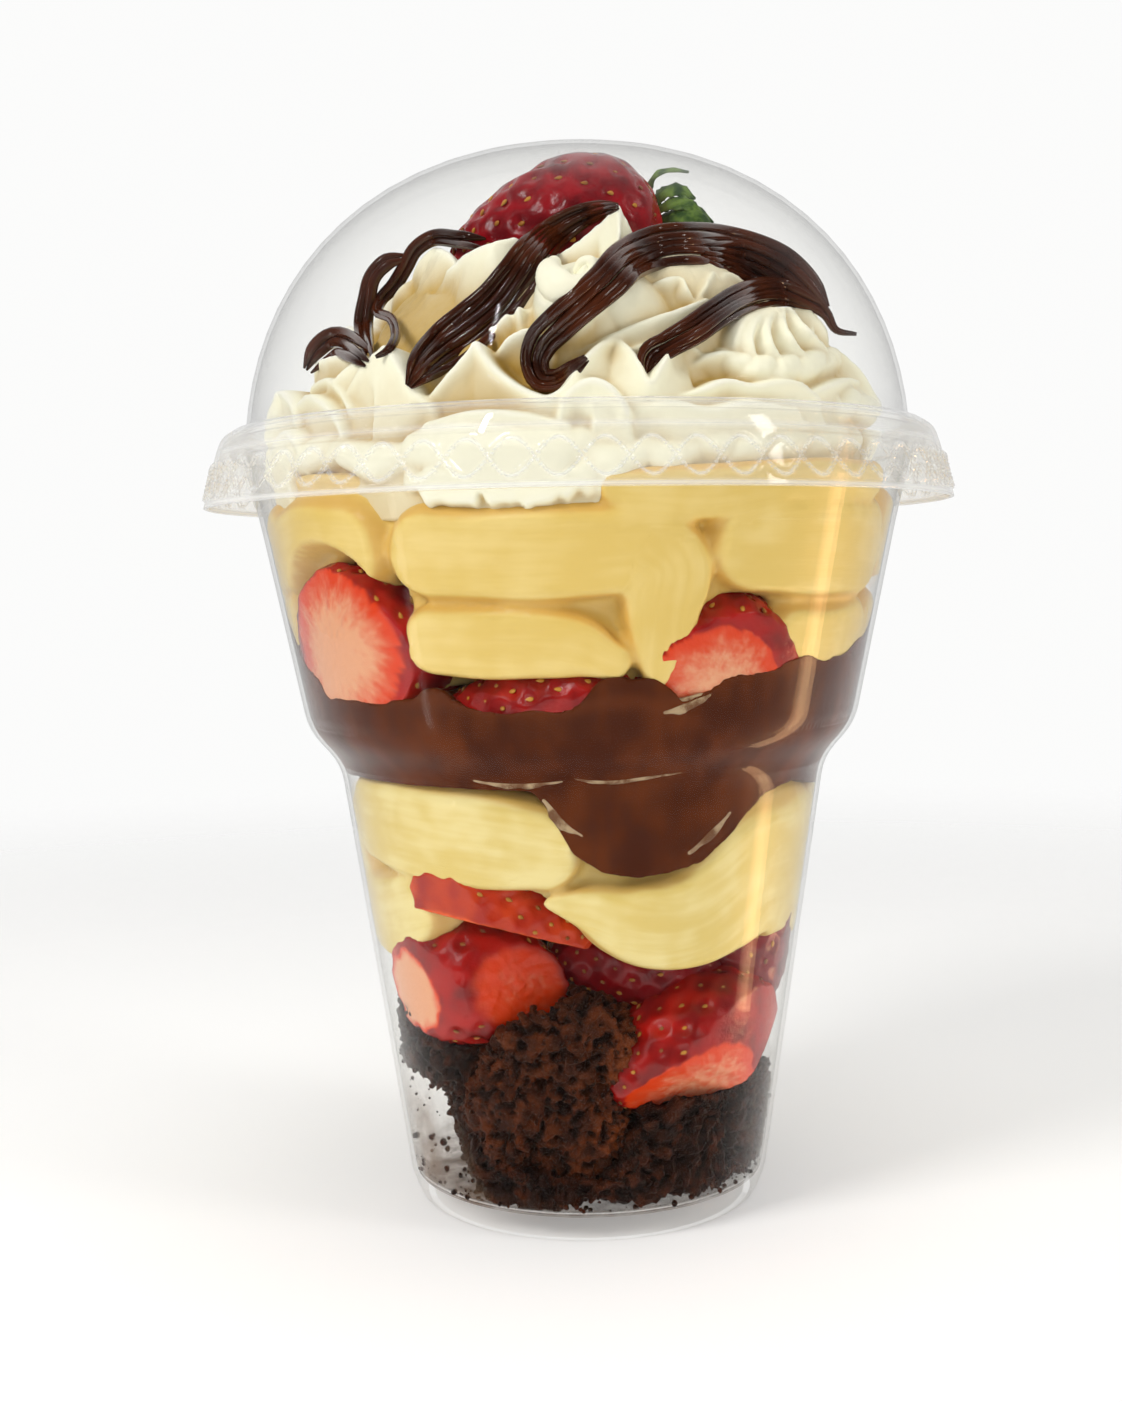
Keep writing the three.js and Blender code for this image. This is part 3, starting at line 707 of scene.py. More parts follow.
def cream_finish(name, body, light, crease_shade):
    """Milk cream: nearly even, with faint streaks along its strokes, and painted shade in creases: a deeper, browner
    colour.
    """
    cream = Finish(name)
    flow = cream.node("ShaderNodeCombineXYZ", None, {
        0: cream.mark("along") * 0.05, 1: cream.mark("across") * 0.55, 2: 0.0})
    streak = cream.grain(1000.0, 4.0, flow, 0.6)
    cloud = cream.grain(8.0, 2.0)
    pale = cream.step(streak * 0.4 + cloud * 0.6, 0.40, 0.66)
    tone = cream.blend(pale, body, light)
    # Painted shade: creases take the darker, browner colour.
    deep = cream.step(cream.mark("crease_shade"), 0.0, 1.0)
    tone = cream.blend(deep * 0.55, tone, crease_shade)
    relief = cream.bump(streak, 0.25, 0.35)
    return cream.surface(cream.principled(
        Base_Color=tone, Roughness=0.36, Normal=relief, Specular_IOR_Level=0.4))


# %% The upper milk cream
UPPER_CREAM_GAP = 0.16
rng = np.random.default_rng(7)

UPPER_STROKES = [
    [(-66, 92.6, 6.3), (-56, 93.4, 6.8), (-44.5, 92.8, 6.6)],
    [(-27, 92.0, 6.0), (-8, 91.6, 6.2), (9, 92.2, 6.2)],
    [(9.5, 92.0, 6.3), (14.0, 89.4, 6.2), (13.9, 84.6, 5.2), (13.6, 80.2, 4.0), (13.2, 76.6, 2.2), (13.0, 74.2, 0.6)],
    [(-28, 81.0, 4.6), (-18, 80.7, 4.9), (-8, 80.5, 4.6), (0, 79.6, 3.8), (5, 78.0, 2.4)],
    [(30.5, 92.8, 6.8), (44, 92.8, 7.4), (62, 92.6, 7.2)],
    [(5, 98.8, 1.8), (12, 98.4, 3.0), (20, 98.2, 3.4), (29, 99.4, 2.6), (42, 100.2, 2.4), (60, 100.4, 2.4)],
    [(42, 80.0, 5.0), (52, 79.6, 5.2), (64, 81.0, 5.0)],
]


def back_strokes(start, finish, tiers, half, step):
    """Strokes that fill the back of a layer, laid end to end with seeded unevenness."""
    found = []
    for height in tiers:
        angle = start + rng.uniform(-6, 6)
        while angle < finish:
            span = rng.uniform(*step)
            stop = min(angle + span, finish + 6)
            rise = rng.uniform(-1.2, 1.2, 3)
            size = half + rng.uniform(-0.6, 0.6, 3)
            found.append([
                (angle, height + rise[0], size[0]), ((angle + stop) / 2, height + rise[1], size[1]),
                (stop, height + rise[2], size[2]),
            ])
            angle = stop + 9
    return found


upper_back = back_strokes(76, 282, (93.4, 81.5), 6.1, (32, 52))
upper_strokes = [wall_stroke(stations, UPPER_CREAM_GAP) for stations in UPPER_STROKES + upper_back]
# The last colour of each cream is its painted shade in creases.
upper_finish = cream_finish(
    "upper_cream", colour(230, 198, 108), colour(240, 212, 132), colour(214, 158, 66))
piped_cream(
    "upper_cream", "cream_upper", "upper_cream", upper_strokes, UPPER_CREAM_GAP, 3.2, 0.6, upper_finish,
    hollows=[(polar(-53, 41.0, 80.0), 12.6), (polar(-48, 41.4, 84.0), 7.4)])

# %% The lower milk cream
LOWER_CREAM_GAP = 0.08
LOWER_STROKES = [
    [(-66, 56.5, 6.6), (-52, 56.2, 7.2), (-38, 55.6, 7.3), (-22, 55.0, 7.0), (-11, 54.2, 6.0)],
    [(-78, 43.0, 6.0), (-64, 42.8, 6.4), (-51, 44.5, 5.6)],
    [(-9, 46.8, 0.8), (0, 46.0, 3.2), (8, 44.6, 5.2), (18, 43.6, 6.4), (28, 44.2, 7.4),
     (37, 46.4, 8.8), (47, 49.5, 10.8), (62, 50.5, 11.4)],
]
lower_back = back_strokes(78, 272, (54.5, 44.5), 6.4, (34, 56))
lower_strokes = [wall_stroke(stations, LOWER_CREAM_GAP) for stations in LOWER_STROKES + lower_back]
lower_finish = cream_finish(
    "lower_cream", colour(226, 200, 116), colour(240, 222, 154), colour(208, 158, 72))
piped_cream(
    "lower_cream", "cream_lower", "lower_cream", lower_strokes, LOWER_CREAM_GAP, 3.0, 0.55, lower_finish)

# %% [markdown]
# The chocolate is one soft mass that was poured round the cup's ledge and pressed against it. Its
# top edge is wavy where it met the wall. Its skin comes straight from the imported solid.

# %% The chocolate
CHOCOLATE_GAP = 0.05
CHOCOLATE_FOOT = [
    (-170, 61), (-120, 60), (-60, 61.5), (-11, 61.3), (-3, 52.6), (4, 50), (12, 49.3), (27, 50.6),
    (36, 54.5), (41, 58.6), (50, 60.7), (80, 58.5), (120, 61)]
CHOCOLATE_TOP = [
    (-170, 80), (-130, 83), (-85, 85), (-66, 75.5), (-58, 73.2), (-40, 73.0), (-27, 73.0), (-21, 72.4), (-14, 71.8),
    (-3, 71.8), (3, 72.6), (8, 72.8), (15, 71.8), (20, 73.4), (26, 75.2), (34, 76.6), (45, 77.2), (60, 77.6),
    (88, 85), (130, 82)]


def around(stations, angles):
    """Heights round the cup, through stations of angle and height."""
    stations = np.array(stations, float)
    line = np.vstack([stations[-1] - (360, 0), stations, stations[0] + (360, 0)])
    turned_angles = (angles - stations[0, 0]) % 360 + stations[0, 0]
    return np.interp(turned_angles, line[:, 0], line[:, 1])


def wall_band(low, high, thick, gap):
    """A closed band against the wall between two heights that vary round the cup."""
    angles = np.arange(-180, 180, 1.0)
    turn = np.arange(28) * 2 * math.pi / 28
    middle, half = (low(angles) + high(angles)) / 2, (high(angles) - low(angles)) / 2
    heights = middle[:, None] + half[:, None] * boxed(np.cos(turn), 0.35)
    radii = wall(heights) - gap - thick / 2 + thick / 2 * boxed(np.sin(turn), 0.6)
    points = polar(angles[:, None], radii, heights)
    step, side = np.arange(360)[:, None] * 28, np.arange(28)[None, :]
    after, beside = (step + 28) % (360 * 28), (side + 1) % 28
    faces = np.stack([step + side, after + side, after + beside, step + beside], axis=-1)
    return points.reshape(-1, 3), list(map(tuple, faces.reshape(-1, 4).tolist()))


chocolate_band = wall_band(
    lambda angles: around(CHOCOLATE_FOOT, angles) + 0.6, lambda angles: around(CHOCOLATE_TOP, angles),
    2.2, CHOCOLATE_GAP)
chocolate_lumps = [
    wall_stroke(stations, 0.5, 3.0)["skin"] for stations in (
        [(1, 72.4, 1.4), (5, 73.9, 2.0), (9, 73.6, 1.6)], [(8, 72.8, 1.5), (12, 74.2, 1.7), (15.5, 73.0, 1.2)],
        [(-32, 72.2, 1.0), (-28.5, 73.0, 1.4), (-25, 72.2, 1.0)])
]
chocolate_mesh = welded([packed("chocolate_layer"), chocolate_band] + chocolate_lumps, 0.6, 3)
points = points_of(chocolate_mesh)
turns = np.degrees(np.arctan2(points[:, 0], -points[:, 1]))
inner_share = ease(0.7, 1.0, radius_of(points) / wall(points[:, 2]))
wave = lumps(polar(turns, 40.0, 0.0), 7.5, 2, 3.0)
near_top = ease(69, 73, points[:, 2])
points[:, 2] += wave * 1.0 * near_top * inner_share
points += unit(points * [1, 1, 0]) * (lumps(points, 6.0, 2, 9.0) * 0.5)[:, None]
points = to_wall(points, CHOCOLATE_GAP, 1.5)
put_points(chocolate_mesh, points)
turns = np.degrees(np.arctan2(points[:, 0], -points[:, 1]))
# Painted highlight: mark a band along the chocolate's top edge.
mark(chocolate_mesh, "lip_highlight", ease(1.6, 0.1, np.abs(points[:, 2] - around(CHOCOLATE_TOP, turns) - 0.3)))

chocolate = Finish("chocolate")
cloud = chocolate.grain(9.0, 2.0)
# Noise stretched up and down: painted sheen as faint vertical streaks, mixed below with random lumps of tone.
streak = chocolate.grain(1000.0, 3.0, chocolate.node(
    "ShaderNodeMapping", None, {"Vector": chocolate.place(), "Scale": (300, 300, 36)}))
tone = chocolate.blend(
    chocolate.step(cloud * 0.6 + streak * 0.4, 0.38, 0.66), colour(68, 24, 1), colour(98, 44, 10))
# Painted highlight: the band along the top edge is lighter.
tone = chocolate.blend(chocolate.mark("lip_highlight") * 0.5, tone, colour(104, 50, 20))
chocolate.surface(chocolate.principled(
    Base_Color=tone, Roughness=0.3, Specular_IOR_Level=0.1, Normal=chocolate.bump(cloud, 0.3, 0.6)))
add_piece("chocolate", chocolate_mesh, chocolate.material, "chocolate", "chocolate_layer")

# %% Smears on the wall, which also paint the ledge's reflection
SMEARS = [
    [(14.6, 71.6, 0.3), (17.4, 72.2, 0.8), (20.4, 72.9, 0.7), (23.0, 73.5, 0.2)],
    [(-24, 62.9, 0.2), (-17, 62.5, 0.6), (-10, 62.6, 0.5), (-5, 62.9, 0.2)],
    [(-2, 63.2, 0.2), (5, 62.8, 0.5), (13, 63.2, 0.4), (20, 63.6, 0.2)],
    [(-9, 60.4, 0.3), (-5, 57.5, 0.9), (-1, 55.8, 0.3)],
    [(24, 53.0, 0.3), (29, 55.2, 0.8), (34, 57.6, 0.3)],
]
smear_points, smear_faces, base = [], [], 0
for stations in SMEARS:
    stations = np.array(stations)
    places = polar(stations[:, 0], wall(stations[:, 1]) - 0.12, stations[:, 1])
    rows = smooth_line(np.column_stack([places, stations[:, 2]]), 0.4)
    size = rows[:, 3] * (1 + 0.5 * lumps(rows[:, :3], 1.6, 2, 5.0))
    part_points, part_faces = tube(rows[:, :3], radial(rows[:, :3]), np.maximum(size, 0.1), size * 0 + 0.1, sides=12)
    smear_points.append(to_wall(part_points, 0.01))
    smear_faces.extend([tuple(corner + base for corner in face) for face in part_faces])
    base += len(part_points)
smear_mesh = new_mesh("smears", np.vstack(smear_points), smear_faces)
face_out(smear_mesh)
smear_and_reflection = Finish("smear_and_reflection")
# Pale streaks: partly smears, partly a painted reflection of the ledge.
smear_tone = smear_and_reflection.blend(smear_and_reflection.step(smear_and_reflection.grain(2.0, 3.0), 0.4, 0.62), colour(112, 76, 50), colour(176, 152, 118))
smear_and_reflection.surface(smear_and_reflection.principled(Base_Color=smear_tone, Roughness=0.3, Specular_IOR_Level=0.2))
add_piece("cream_smears", smear_mesh, smear_and_reflection.material, "lower_cream")

# %% [markdown]
# Each strawberry is an egg of rings. Where a knife went, the points beyond the cut are drawn back
# towards the middle until they lie on its plane, which leaves a crisp rim and a flat face. Seeds sit
# in dimples laid out in a golden-angle spiral, as they grow. The finish needs to know where a point
# is flesh, how near it is to the rim and which way it lies from the middle, so the mesh keeps those.

# %% Strawberries
BERRY_ROWS, BERRY_SIDES = 110, 150
GOLDEN = math.pi * (3 - math.sqrt(5))
seed_places, seed_outs, seed_ahead = [], [], []


def facing_turn(direction):
    """A rotation whose third axis points along a direction."""
    return np.array(Vector(direction).to_track_quat("Z", "Y").to_matrix())


def egg(climb, around, length, width):
    """Points of a strawberry: climb runs from its tip to its shoulder."""
    radius = width / 2 * np.sin(climb) * (1 - 0.3 * np.cos(climb)) * 0.96
    height = length / 2 * np.cos(climb) + 0 * around
    return np.stack([radius * np.cos(around), radius * np.sin(around), height], axis=-1)


def strawberry(name, centre, tip, length, width, cuts=(), seeds=150, number=0, limit=True):
    """A strawberry with cut faces, seed dimples and marks for its finish."""
    centre = np.array(centre, float)
    turn = facing_turn(unit(np.array(tip, float)))
    climb = np.linspace(0, math.pi, BERRY_ROWS + 2)[1:-1]
    around = np.arange(BERRY_SIDES) * 2 * math.pi / BERRY_SIDES
    grid = egg(climb[:, None], around[None, :], length, width)
    ends = egg(np.array([0, math.pi]), np.zeros(2), length, width)
    points, faces = skin_of_rings(grid, ends[0], ends[1])
    steps = np.arange(seeds) + 0.5
    seed_climb = np.arccos(1 - 2 * steps / seeds)
    dots = egg(seed_climb, steps * GOLDEN + number, length, width) * 1.0
    tree = KDTree(seeds)
    for index, dot in enumerate(dots):
        tree.insert(dot, index)
    tree.balance()
    apart = np.array([tree.find(point)[2] for point in points])
    outward = unit(points)
    bumps = lumps(points, 5.0, 2, number * 3.1)
    skin = points + outward * (0.35 * ease(0.3, 1.7, apart) - 0.35 + bumps * 0.45)[:, None]
    placed = skin @ turn.T
    cut_share = np.ones(len(placed))
    pale = np.ones(len(placed))
    for normal, distance, paleness in cuts:
        normal = unit(np.array(normal, float))
        reach = placed @ normal
        rough = distance + 0.12 * lumps(placed, 2.0, 2, number + 5.0)
        share = np.where(reach > rough, rough / np.maximum(reach, 1e-6), 1.0)
        placed = placed * share[:, None]
        pale = np.where(share < 1, paleness, pale)
        cut_share = cut_share * share
    places = placed + centre
    if limit:
        places = to_wall(places, 0.03 if centre[2] < 60 else 0.11)
    mesh = new_mesh(name, places, faces)
    face_out(mesh)
    mark(mesh, "flesh", ease(1.0, 1.0 - np.where(pale < 0.4, 0.17, 0.004), cut_share))
    mark(mesh, "core", 1 - (1 - cut_share) * pale)
    mark(mesh, "shoulder", ease(0.45, 1.0, -points[:, 2] / (length / 2)))
    layer = mesh.attributes.new("outward", "FLOAT_VECTOR", "POINT")
    layer.data.foreach_set("vector", outward.ravel())
    dot_places = dots @ turn.T
    kept = np.ones(seeds, bool)
    for normal, distance, paleness in cuts:
        kept &= dot_places @ unit(np.array(normal, float)) < distance - 0.3
    kept &= np.abs(dots[:, 2]) < length * 0.485
    ahead = unit(np.array(tip, float))
    for place in dot_places[kept]:
        out = unit(place)
        spot = place + centre - out * 0.32
        if not limit or radius_of(spot) < wall(spot[2]) - 0.35:
            seed_places.append(spot)
            seed_outs.append(out)
            seed_ahead.append(ahead)
    return mesh


def berry_finish(name, skin, deep, rim, middle):
    """Strawberry skin and flesh."""
    berry = Finish(name)
    blotch = berry.grain(4.0, 3.0)
    outside = berry.blend(berry.step(blotch, 0.35, 0.7), skin, deep)
    outside = berry.blend(berry.step(berry.mark("shoulder"), 0.55, 1.0, 0.0, 0.45), outside, rim)
    way = berry.node("ShaderNodeAttribute", {"attribute_name": "outward"}, output="Vector")
    fibre = berry.grain(160.0, 3.0, way, 0.65)
    depth = berry.mark("core")
    soft = berry.step(depth + (fibre - 0.5) * 0.55, 0.50, 0.97)
    inside = berry.blend(soft, middle, rim)
    tone = berry.blend(berry.mark("flesh"), outside, inside)
    relief = berry.bump(fibre * 0.6 + berry.grain(0.9, 2.0) * 0.4, 0.45, 0.35)
    return berry.surface(berry.principled(
        Base_Color=tone, Roughness=0.24, Normal=relief, Specular_IOR_Level=0.4))


fresh = berry_finish(
    "strawberry", colour(172, 18, 10), colour(120, 6, 6), colour(222, 62, 14), colour(232, 166, 126))
dark = berry_finish(
    "dark_strawberry", colour(138, 12, 18), colour(92, 4, 10), colour(186, 40, 24), colour(210, 130, 104))
amber = berry_finish(
    "amber_strawberry", colour(196, 58, 14), colour(160, 26, 8), colour(224, 88, 30), colour(236, 150, 100))
BERRIES = {
    "strawberry_wedge": dict(
        centre=(13.5, -16.5, 24.5), tip=(-0.86, -0.42, -0.30), length=29, width=19,
        cuts=[((0.3, -0.72, -0.62), 6.2, 1.0), ((0.1, 0.75, -0.65), 3.5, 1.0)], finish=fresh),
    "strawberry_half_left": dict(
        centre=(-14, -16.5, 34), tip=(0.82, -0.42, -0.12), length=27, width=19,
        cuts=[((-0.86, -0.44, -0.26), 9.6, 7.0), ((0.45, -0.88, 0.05), 6.6, 0.2)], finish=fresh),
    "strawberry_slice": dict(
        centre=(-11.0, -21.4, 45), tip=(0.86, -0.33, -0.34), length=27, width=16,
        cuts=[((0.30, 0.24, 0.92), 3.2, 0.5), ((-0.24, -0.16, -0.95), 3.0, 0.5)], finish=amber),
    "strawberry_middle": dict(
        centre=(7, -11.5, 35.2), tip=(-0.95, -0.2, 0.05), length=28, width=16, finish=dark),
    "strawberry_right": dict(
        centre=(21, -9, 39.5), tip=(0.25, -0.35, -0.9), length=24, width=17,
        cuts=[((0.5, 0.8, 0.2), 5, 1.0)], finish=dark),
    "strawberry_back": dict(
        centre=(-4, 17, 38), tip=(0.9, 0.3, -0.2), length=27, width=19,
        cuts=[((0, -0.9, -0.4), 4, 1.0)], finish=fresh),
    "strawberry_upper_left": dict(
        centre=(-28.8, -21.6, 79.6), tip=(-0.30, 0.2, 0.93), length=23.5, width=29,
        cuts=[((-0.76, -0.65, 0.0), 5.0, 1.0)], finish=fresh),
    "strawberry_upper_middle": dict(
        centre=(-5.0, -32.2, 71.8), tip=(-0.98, 0.14, -0.06), length=27, width=14.4, finish=fresh),
    "strawberry_upper_right": dict(
        centre=(17, -30, 77), tip=(0.30, 0.05, 0.95), length=21, width=24,
        cuts=[((0.2, -0.9, -0.35), 6.5, 0.9), ((0, 0, -1), 4.5, 0.9)], finish=fresh),
    "strawberry_upper_back": dict(
        centre=(10, 31, 84), tip=(-0.8, 0.3, -0.5), length=27, width=20,
        cuts=[((0.3, 0.95, 0), 5, 1.0)], finish=fresh),
    "strawberry_upper_far": dict(
        centre=(-27, 19, 86), tip=(0.5, 0.5, -0.7), length=26, width=19, finish=fresh),
}
for number, (name, values) in enumerate(BERRIES.items()):
    values = dict(values)
    finish = values.pop("finish")
    mesh = strawberry(name, number=number, **values)
    add_piece(name + "_skin", mesh, finish, "strawberry", name)

# %% The whole strawberry on top
crimson = berry_finish(
    "top_strawberry", colour(150, 12, 24), colour(98, 4, 14), colour(176, 30, 36), colour(226, 168, 150))
top_mesh = strawberry(
    "top_strawberry", (-2.6, -8.0, 134.5), (-0.96, -0.12, -0.24), 30, 21, (), 130, 20, False)
add_piece("top_strawberry_skin", top_mesh, crimson, "strawberry", "top_strawberry")

# %% [markdown]
# The seeds are one small drop, set on the points gathered above by a Geometry Nodes tree that reads
# each point's rotation.

# %% Seeds
def drop(length, width, thick):
    """A small flat drop, pointed at one end."""
    rings = []
    for share in np.linspace(0.08, 0.94, 6):
        turn = np.arange(8) * math.pi / 4
        size = math.sin(math.pi * share) ** 0.7 * (1.25 - share * 0.8)
        rings.append(np.stack([
            np.cos(turn) * width / 2 * size, np.full(8, (share - 0.5) * length),
            np.sin(turn) * thick / 2 * size], axis=-1))
    return skin_of_rings(np.array(rings), (0, -length / 2, 0), (0, length / 2, 0))


def scatter(name, places, turns, kinds, sizes, finish, slot):
    """Set one shape on points with a Geometry Nodes tree and make the result plain mesh."""
    cloud = new_mesh(name + "_points", places, [])
    angles = cloud.attributes.new("turn", "FLOAT_VECTOR", "POINT")
    angles.data.foreach_set("vector", np.asarray(turns, float).ravel())
    mark(cloud, "size", sizes)
    holder = bpy.data.objects.new(name + "_points", cloud)
    shape = bpy.data.objects.new(name + "_shape", kinds)
    for thing in (holder, shape):
        bpy.context.scene.collection.objects.link(thing)
    tree = bpy.data.node_groups.new(name + "_scatter", "GeometryNodeTree")
    tree.interface.new_socket("Geometry", in_out="INPUT", socket_type="NodeSocketGeometry")
    shape_input = tree.interface.new_socket("Shape", in_out="INPUT", socket_type="NodeSocketObject")
    scale_input = tree.interface.new_socket("Scale", in_out="INPUT", socket_type="NodeSocketFloat")
    tree.interface.new_socket("Geometry", in_out="OUTPUT", socket_type="NodeSocketGeometry")
    add, join = tree.nodes.new, tree.links.new
    start, finish_node = add("NodeGroupInput"), add("NodeGroupOutput")
    info, instance = add("GeometryNodeObjectInfo"), add("GeometryNodeInstanceOnPoints")
    turn, size = add("GeometryNodeInputNamedAttribute"), add("GeometryNodeInputNamedAttribute")
    turn.data_type, size.data_type = "FLOAT_VECTOR", "FLOAT"
    turn.inputs["Name"].default_value, size.inputs["Name"].default_value = "turn", "size"
    scaled = add("ShaderNodeMath")
    scaled.operation = "MULTIPLY"
    real, paint = add("GeometryNodeRealizeInstances"), add("GeometryNodeSetMaterial")
    paint.inputs["Material"].default_value = finish
    rotation = add("FunctionNodeEulerToRotation")
    join(start.outputs["Geometry"], instance.inputs["Points"])
    join(start.outputs["Shape"], info.inputs["Object"])
    join(info.outputs["Geometry"], instance.inputs["Instance"])
    join(turn.outputs["Attribute"], rotation.inputs[0])
    join(rotation.outputs[0], instance.inputs["Rotation"])
    join(size.outputs["Attribute"], scaled.inputs[0])
    join(start.outputs["Scale"], scaled.inputs[1])
    join(scaled.outputs[0], instance.inputs["Scale"])
    join(instance.outputs["Instances"], real.inputs[0])
    join(real.outputs[0], paint.inputs["Geometry"])
    join(paint.outputs["Geometry"], finish_node.inputs[0])
    setting = holder.modifiers.new("scatter", "NODES")
    setting.node_group = tree
    setting[shape_input.identifier] = shape
    setting[scale_input.identifier] = 1.0
    bpy.context.view_layer.update()
    ready = holder.evaluated_get(bpy.context.evaluated_depsgraph_get())
    result = bpy.data.meshes.new_from_object(ready)
    for thing in (holder, shape):
        bpy.data.objects.remove(thing)
    return add_piece(name, result, finish, slot)


def turn_of(out, ahead):
    """Euler angles of a shape that lies flat on out and points ahead."""
    side = unit(np.cross(ahead, out))
    forward = np.cross(out, side)
    return list(Matrix(np.stack([side, forward, out], axis=1).tolist()).to_euler("XYZ"))


seed_finish = Finish("seed")
seed_tone = seed_finish.blend(
    seed_finish.step(seed_finish.grain(5.0, 1.0), 0.35, 0.65), colour(196, 140, 50), colour(132, 72, 24))
seed_finish.surface(seed_finish.principled(Base_Color=seed_tone, Roughness=0.35))
drop_points, drop_faces = drop(1.15, 0.7, 0.45)
drop_mesh = new_mesh("seed_drop", drop_points, drop_faces)
face_out(drop_mesh)
scatter(
    "strawberry_seeds", np.array(seed_places), [turn_of(*pair) for pair in zip(seed_outs, seed_ahead)],
    drop_mesh, np.linspace(0.85, 1.1, len(seed_places)), seed_finish.material, "strawberry")

# %% [markdown]
# The brownies are torn, so their skin is crumb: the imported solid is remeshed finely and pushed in
# and out by noise of four sizes, the smallest of which bites pores.

# %% Brownies
crumb = Finish("brownie")
coarse, fine = crumb.grain(2.6, 4.0), crumb.grain(0.5, 3.0)
dark_crumb = crumb.blend(crumb.step(coarse, 0.42, 0.68), colour(30, 11, 5), colour(70, 31, 13))
rusty = crumb.blend(crumb.step(coarse, 0.35, 0.62), colour(72, 30, 11), colour(124, 60, 25))
# Redder crumb: on most pieces a little at random; on the front chunk it is also a painted lit side.
tone = crumb.blend(crumb.mark("rust_and_lit_side"), dark_crumb, rusty)
# Painted highlight: the raised specks of the fine bump are lighter.
tone = crumb.blend(crumb.step(fine, 0.60, 0.74) * 0.5, tone, colour(122, 66, 32))
# Painted shade: pits and hollows in the crumb are coloured near black.
tone = crumb.blend(crumb.step(crumb.mark("pit"), 0.1, 0.9) * 0.85, tone, colour(16, 7, 5))
crumb.surface(crumb.principled(
    Base_Color=tone, Roughness=0.36, Specular_IOR_Level=0.12, Normal=crumb.bump(fine, 1.0, 0.5)))


def brownie(node, voxel, seed):
    """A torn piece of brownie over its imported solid."""
    mesh = welded([packed(node)], voxel, 2)
    points = points_of(mesh)
    normals = np.empty(len(points) * 3)
    mesh.vertex_normals.foreach_get("vector", normals)
    normals = normals.reshape(-1, 3)
    big = lumps(points, 5.0, 2, seed)
    middle = lumps(points, 2.2, 2, seed + 3)
    small = lumps(points, 0.9, 2, seed + 8)
    pit = ease(0.0, 0.35, -lumps(points, 1.5, 2, seed + 13))
    if node == "brownie_base":
        turns, radius = np.degrees(np.arctan2(points[:, 0], -points[:, 1])), radius_of(points)
        spread = ease(-46, -36, turns) * ease(90, 78, turns) * ease(11, 19, radius)
        wanted = radius + np.maximum(wall(points[:, 2]) - 1.0 - radius, 0) * spread
        points *= np.stack([wanted / np.maximum(radius, 1e-6)] * 2 + [np.ones(len(radius))], axis=1)
        points += unit(points * [1, 1, 0]) * (0.5 * spread * lumps(points * [1, 1, 0.12], 1.1, 2, 6.0))[:, None]
    push = big * 0.9 + middle * 0.7 + small * 0.75 - pit * 1.1 + 0.2
    points = to_wall(points + normals * push[:, None], 0.25)
    points[:, 2] = np.maximum(points[:, 2], 4.0)
    put_points(mesh, points)
    # Painted shade mask: the pits, and hollows where the middle noise pushes the skin in.
    mark(mesh, "pit", pit * 0.8 + ease(0.1, -0.6, middle) * 0.4)
    # Painted lit side: the front chunk is redder and lighter all over, most towards its right on faces turned right and
    # forward; the other pieces get a little at random.
    torn = ease(-0.5, 5.0, points[:, 0] + 0.25 * (22 - points[:, 2]) + 2.5 * lumps(points, 6.0, 2, 2.0))
    mark(mesh, "rust_and_lit_side", 0.3 + 0.7 * torn * ease(0.2, 0.9, normals[:, 0] - 0.6 * normals[:, 1])
         if node == "brownie_front" else 0.1 * ease(0.0, 0.6, big))
    return add_piece(node + "_crumb", mesh, crumb.material, "brownie", node)


for number, (node, voxel) in enumerate(
    {"brownie_front": 0.32, "brownie_base": 0.42, "brownie_left": 0.42, "brownie_back": 0.55,
     "brownie_right": 0.5}.items()
):
    brownie(node, voxel, 11.0 * number)

# %% [markdown]
# Loose crumbs cling to the brownies, lie on the bottom of the cup and stick to its wall. They are
# one rough grain, set on seeded points by the same Geometry Nodes tree as the seeds.

# %% Crumbs
grain_turn = np.arange(7) * 2 * math.pi / 7
grain_rings = np.array([
    np.stack([size * np.cos(grain_turn + twist), size * np.sin(grain_turn + twist) * 0.8,
              np.full(7, height) + 0.06 * np.cos(grain_turn * 2)], axis=-1)
    for size, height, twist in ((0.30, 0.36, 0.0), (0.50, 0.12, 0.4), (0.46, -0.18, 0.2), (0.24, -0.38, 0.7))])
grain_mesh = new_mesh("grain", *skin_of_rings(grain_rings))
face_out(grain_mesh)
crumb_places = []
for name in ("brownie_front", "brownie_base", "brownie_left", "brownie_right", "brownie_back"):
    skin = points_of(bpy.data.objects[name + "_crumb"].data)
    front = skin[(skin[:, 1] < 8) & (skin[:, 2] > 4.4)]
    crumb_places.append(front[rng.integers(0, len(front), len(front) // 24)])
turns = rng.uniform(-180, 180, 150)
crumb_places.append(polar(turns, 25.0 * np.sqrt(rng.uniform(0.35, 0.94, 150)), 3.8))
turns = np.concatenate([rng.uniform(-75, -28, 60), rng.uniform(-28, 75, 50)])
heights = 4.5 + np.where(turns < -28, 16, 5) * rng.uniform(0, 1, 110) ** 2
crumb_places.append(polar(turns, wall(heights) - 0.15, heights))
crumb_places = to_wall(np.vstack(crumb_places), 0.15)
scatter(
    "crumbs", crumb_places, rng.uniform(0, 6.28, (len(crumb_places), 3)), grain_mesh,
    rng.uniform(0.3, 1.0, len(crumb_places)) ** 2 * 1.15, crumb.material, "brownie")

# %% [markdown]
# Fine crumbs and fat also leave a brown film on the bottom of the cup and up its wall, thickest at
# the left, where the slab stands off from it.

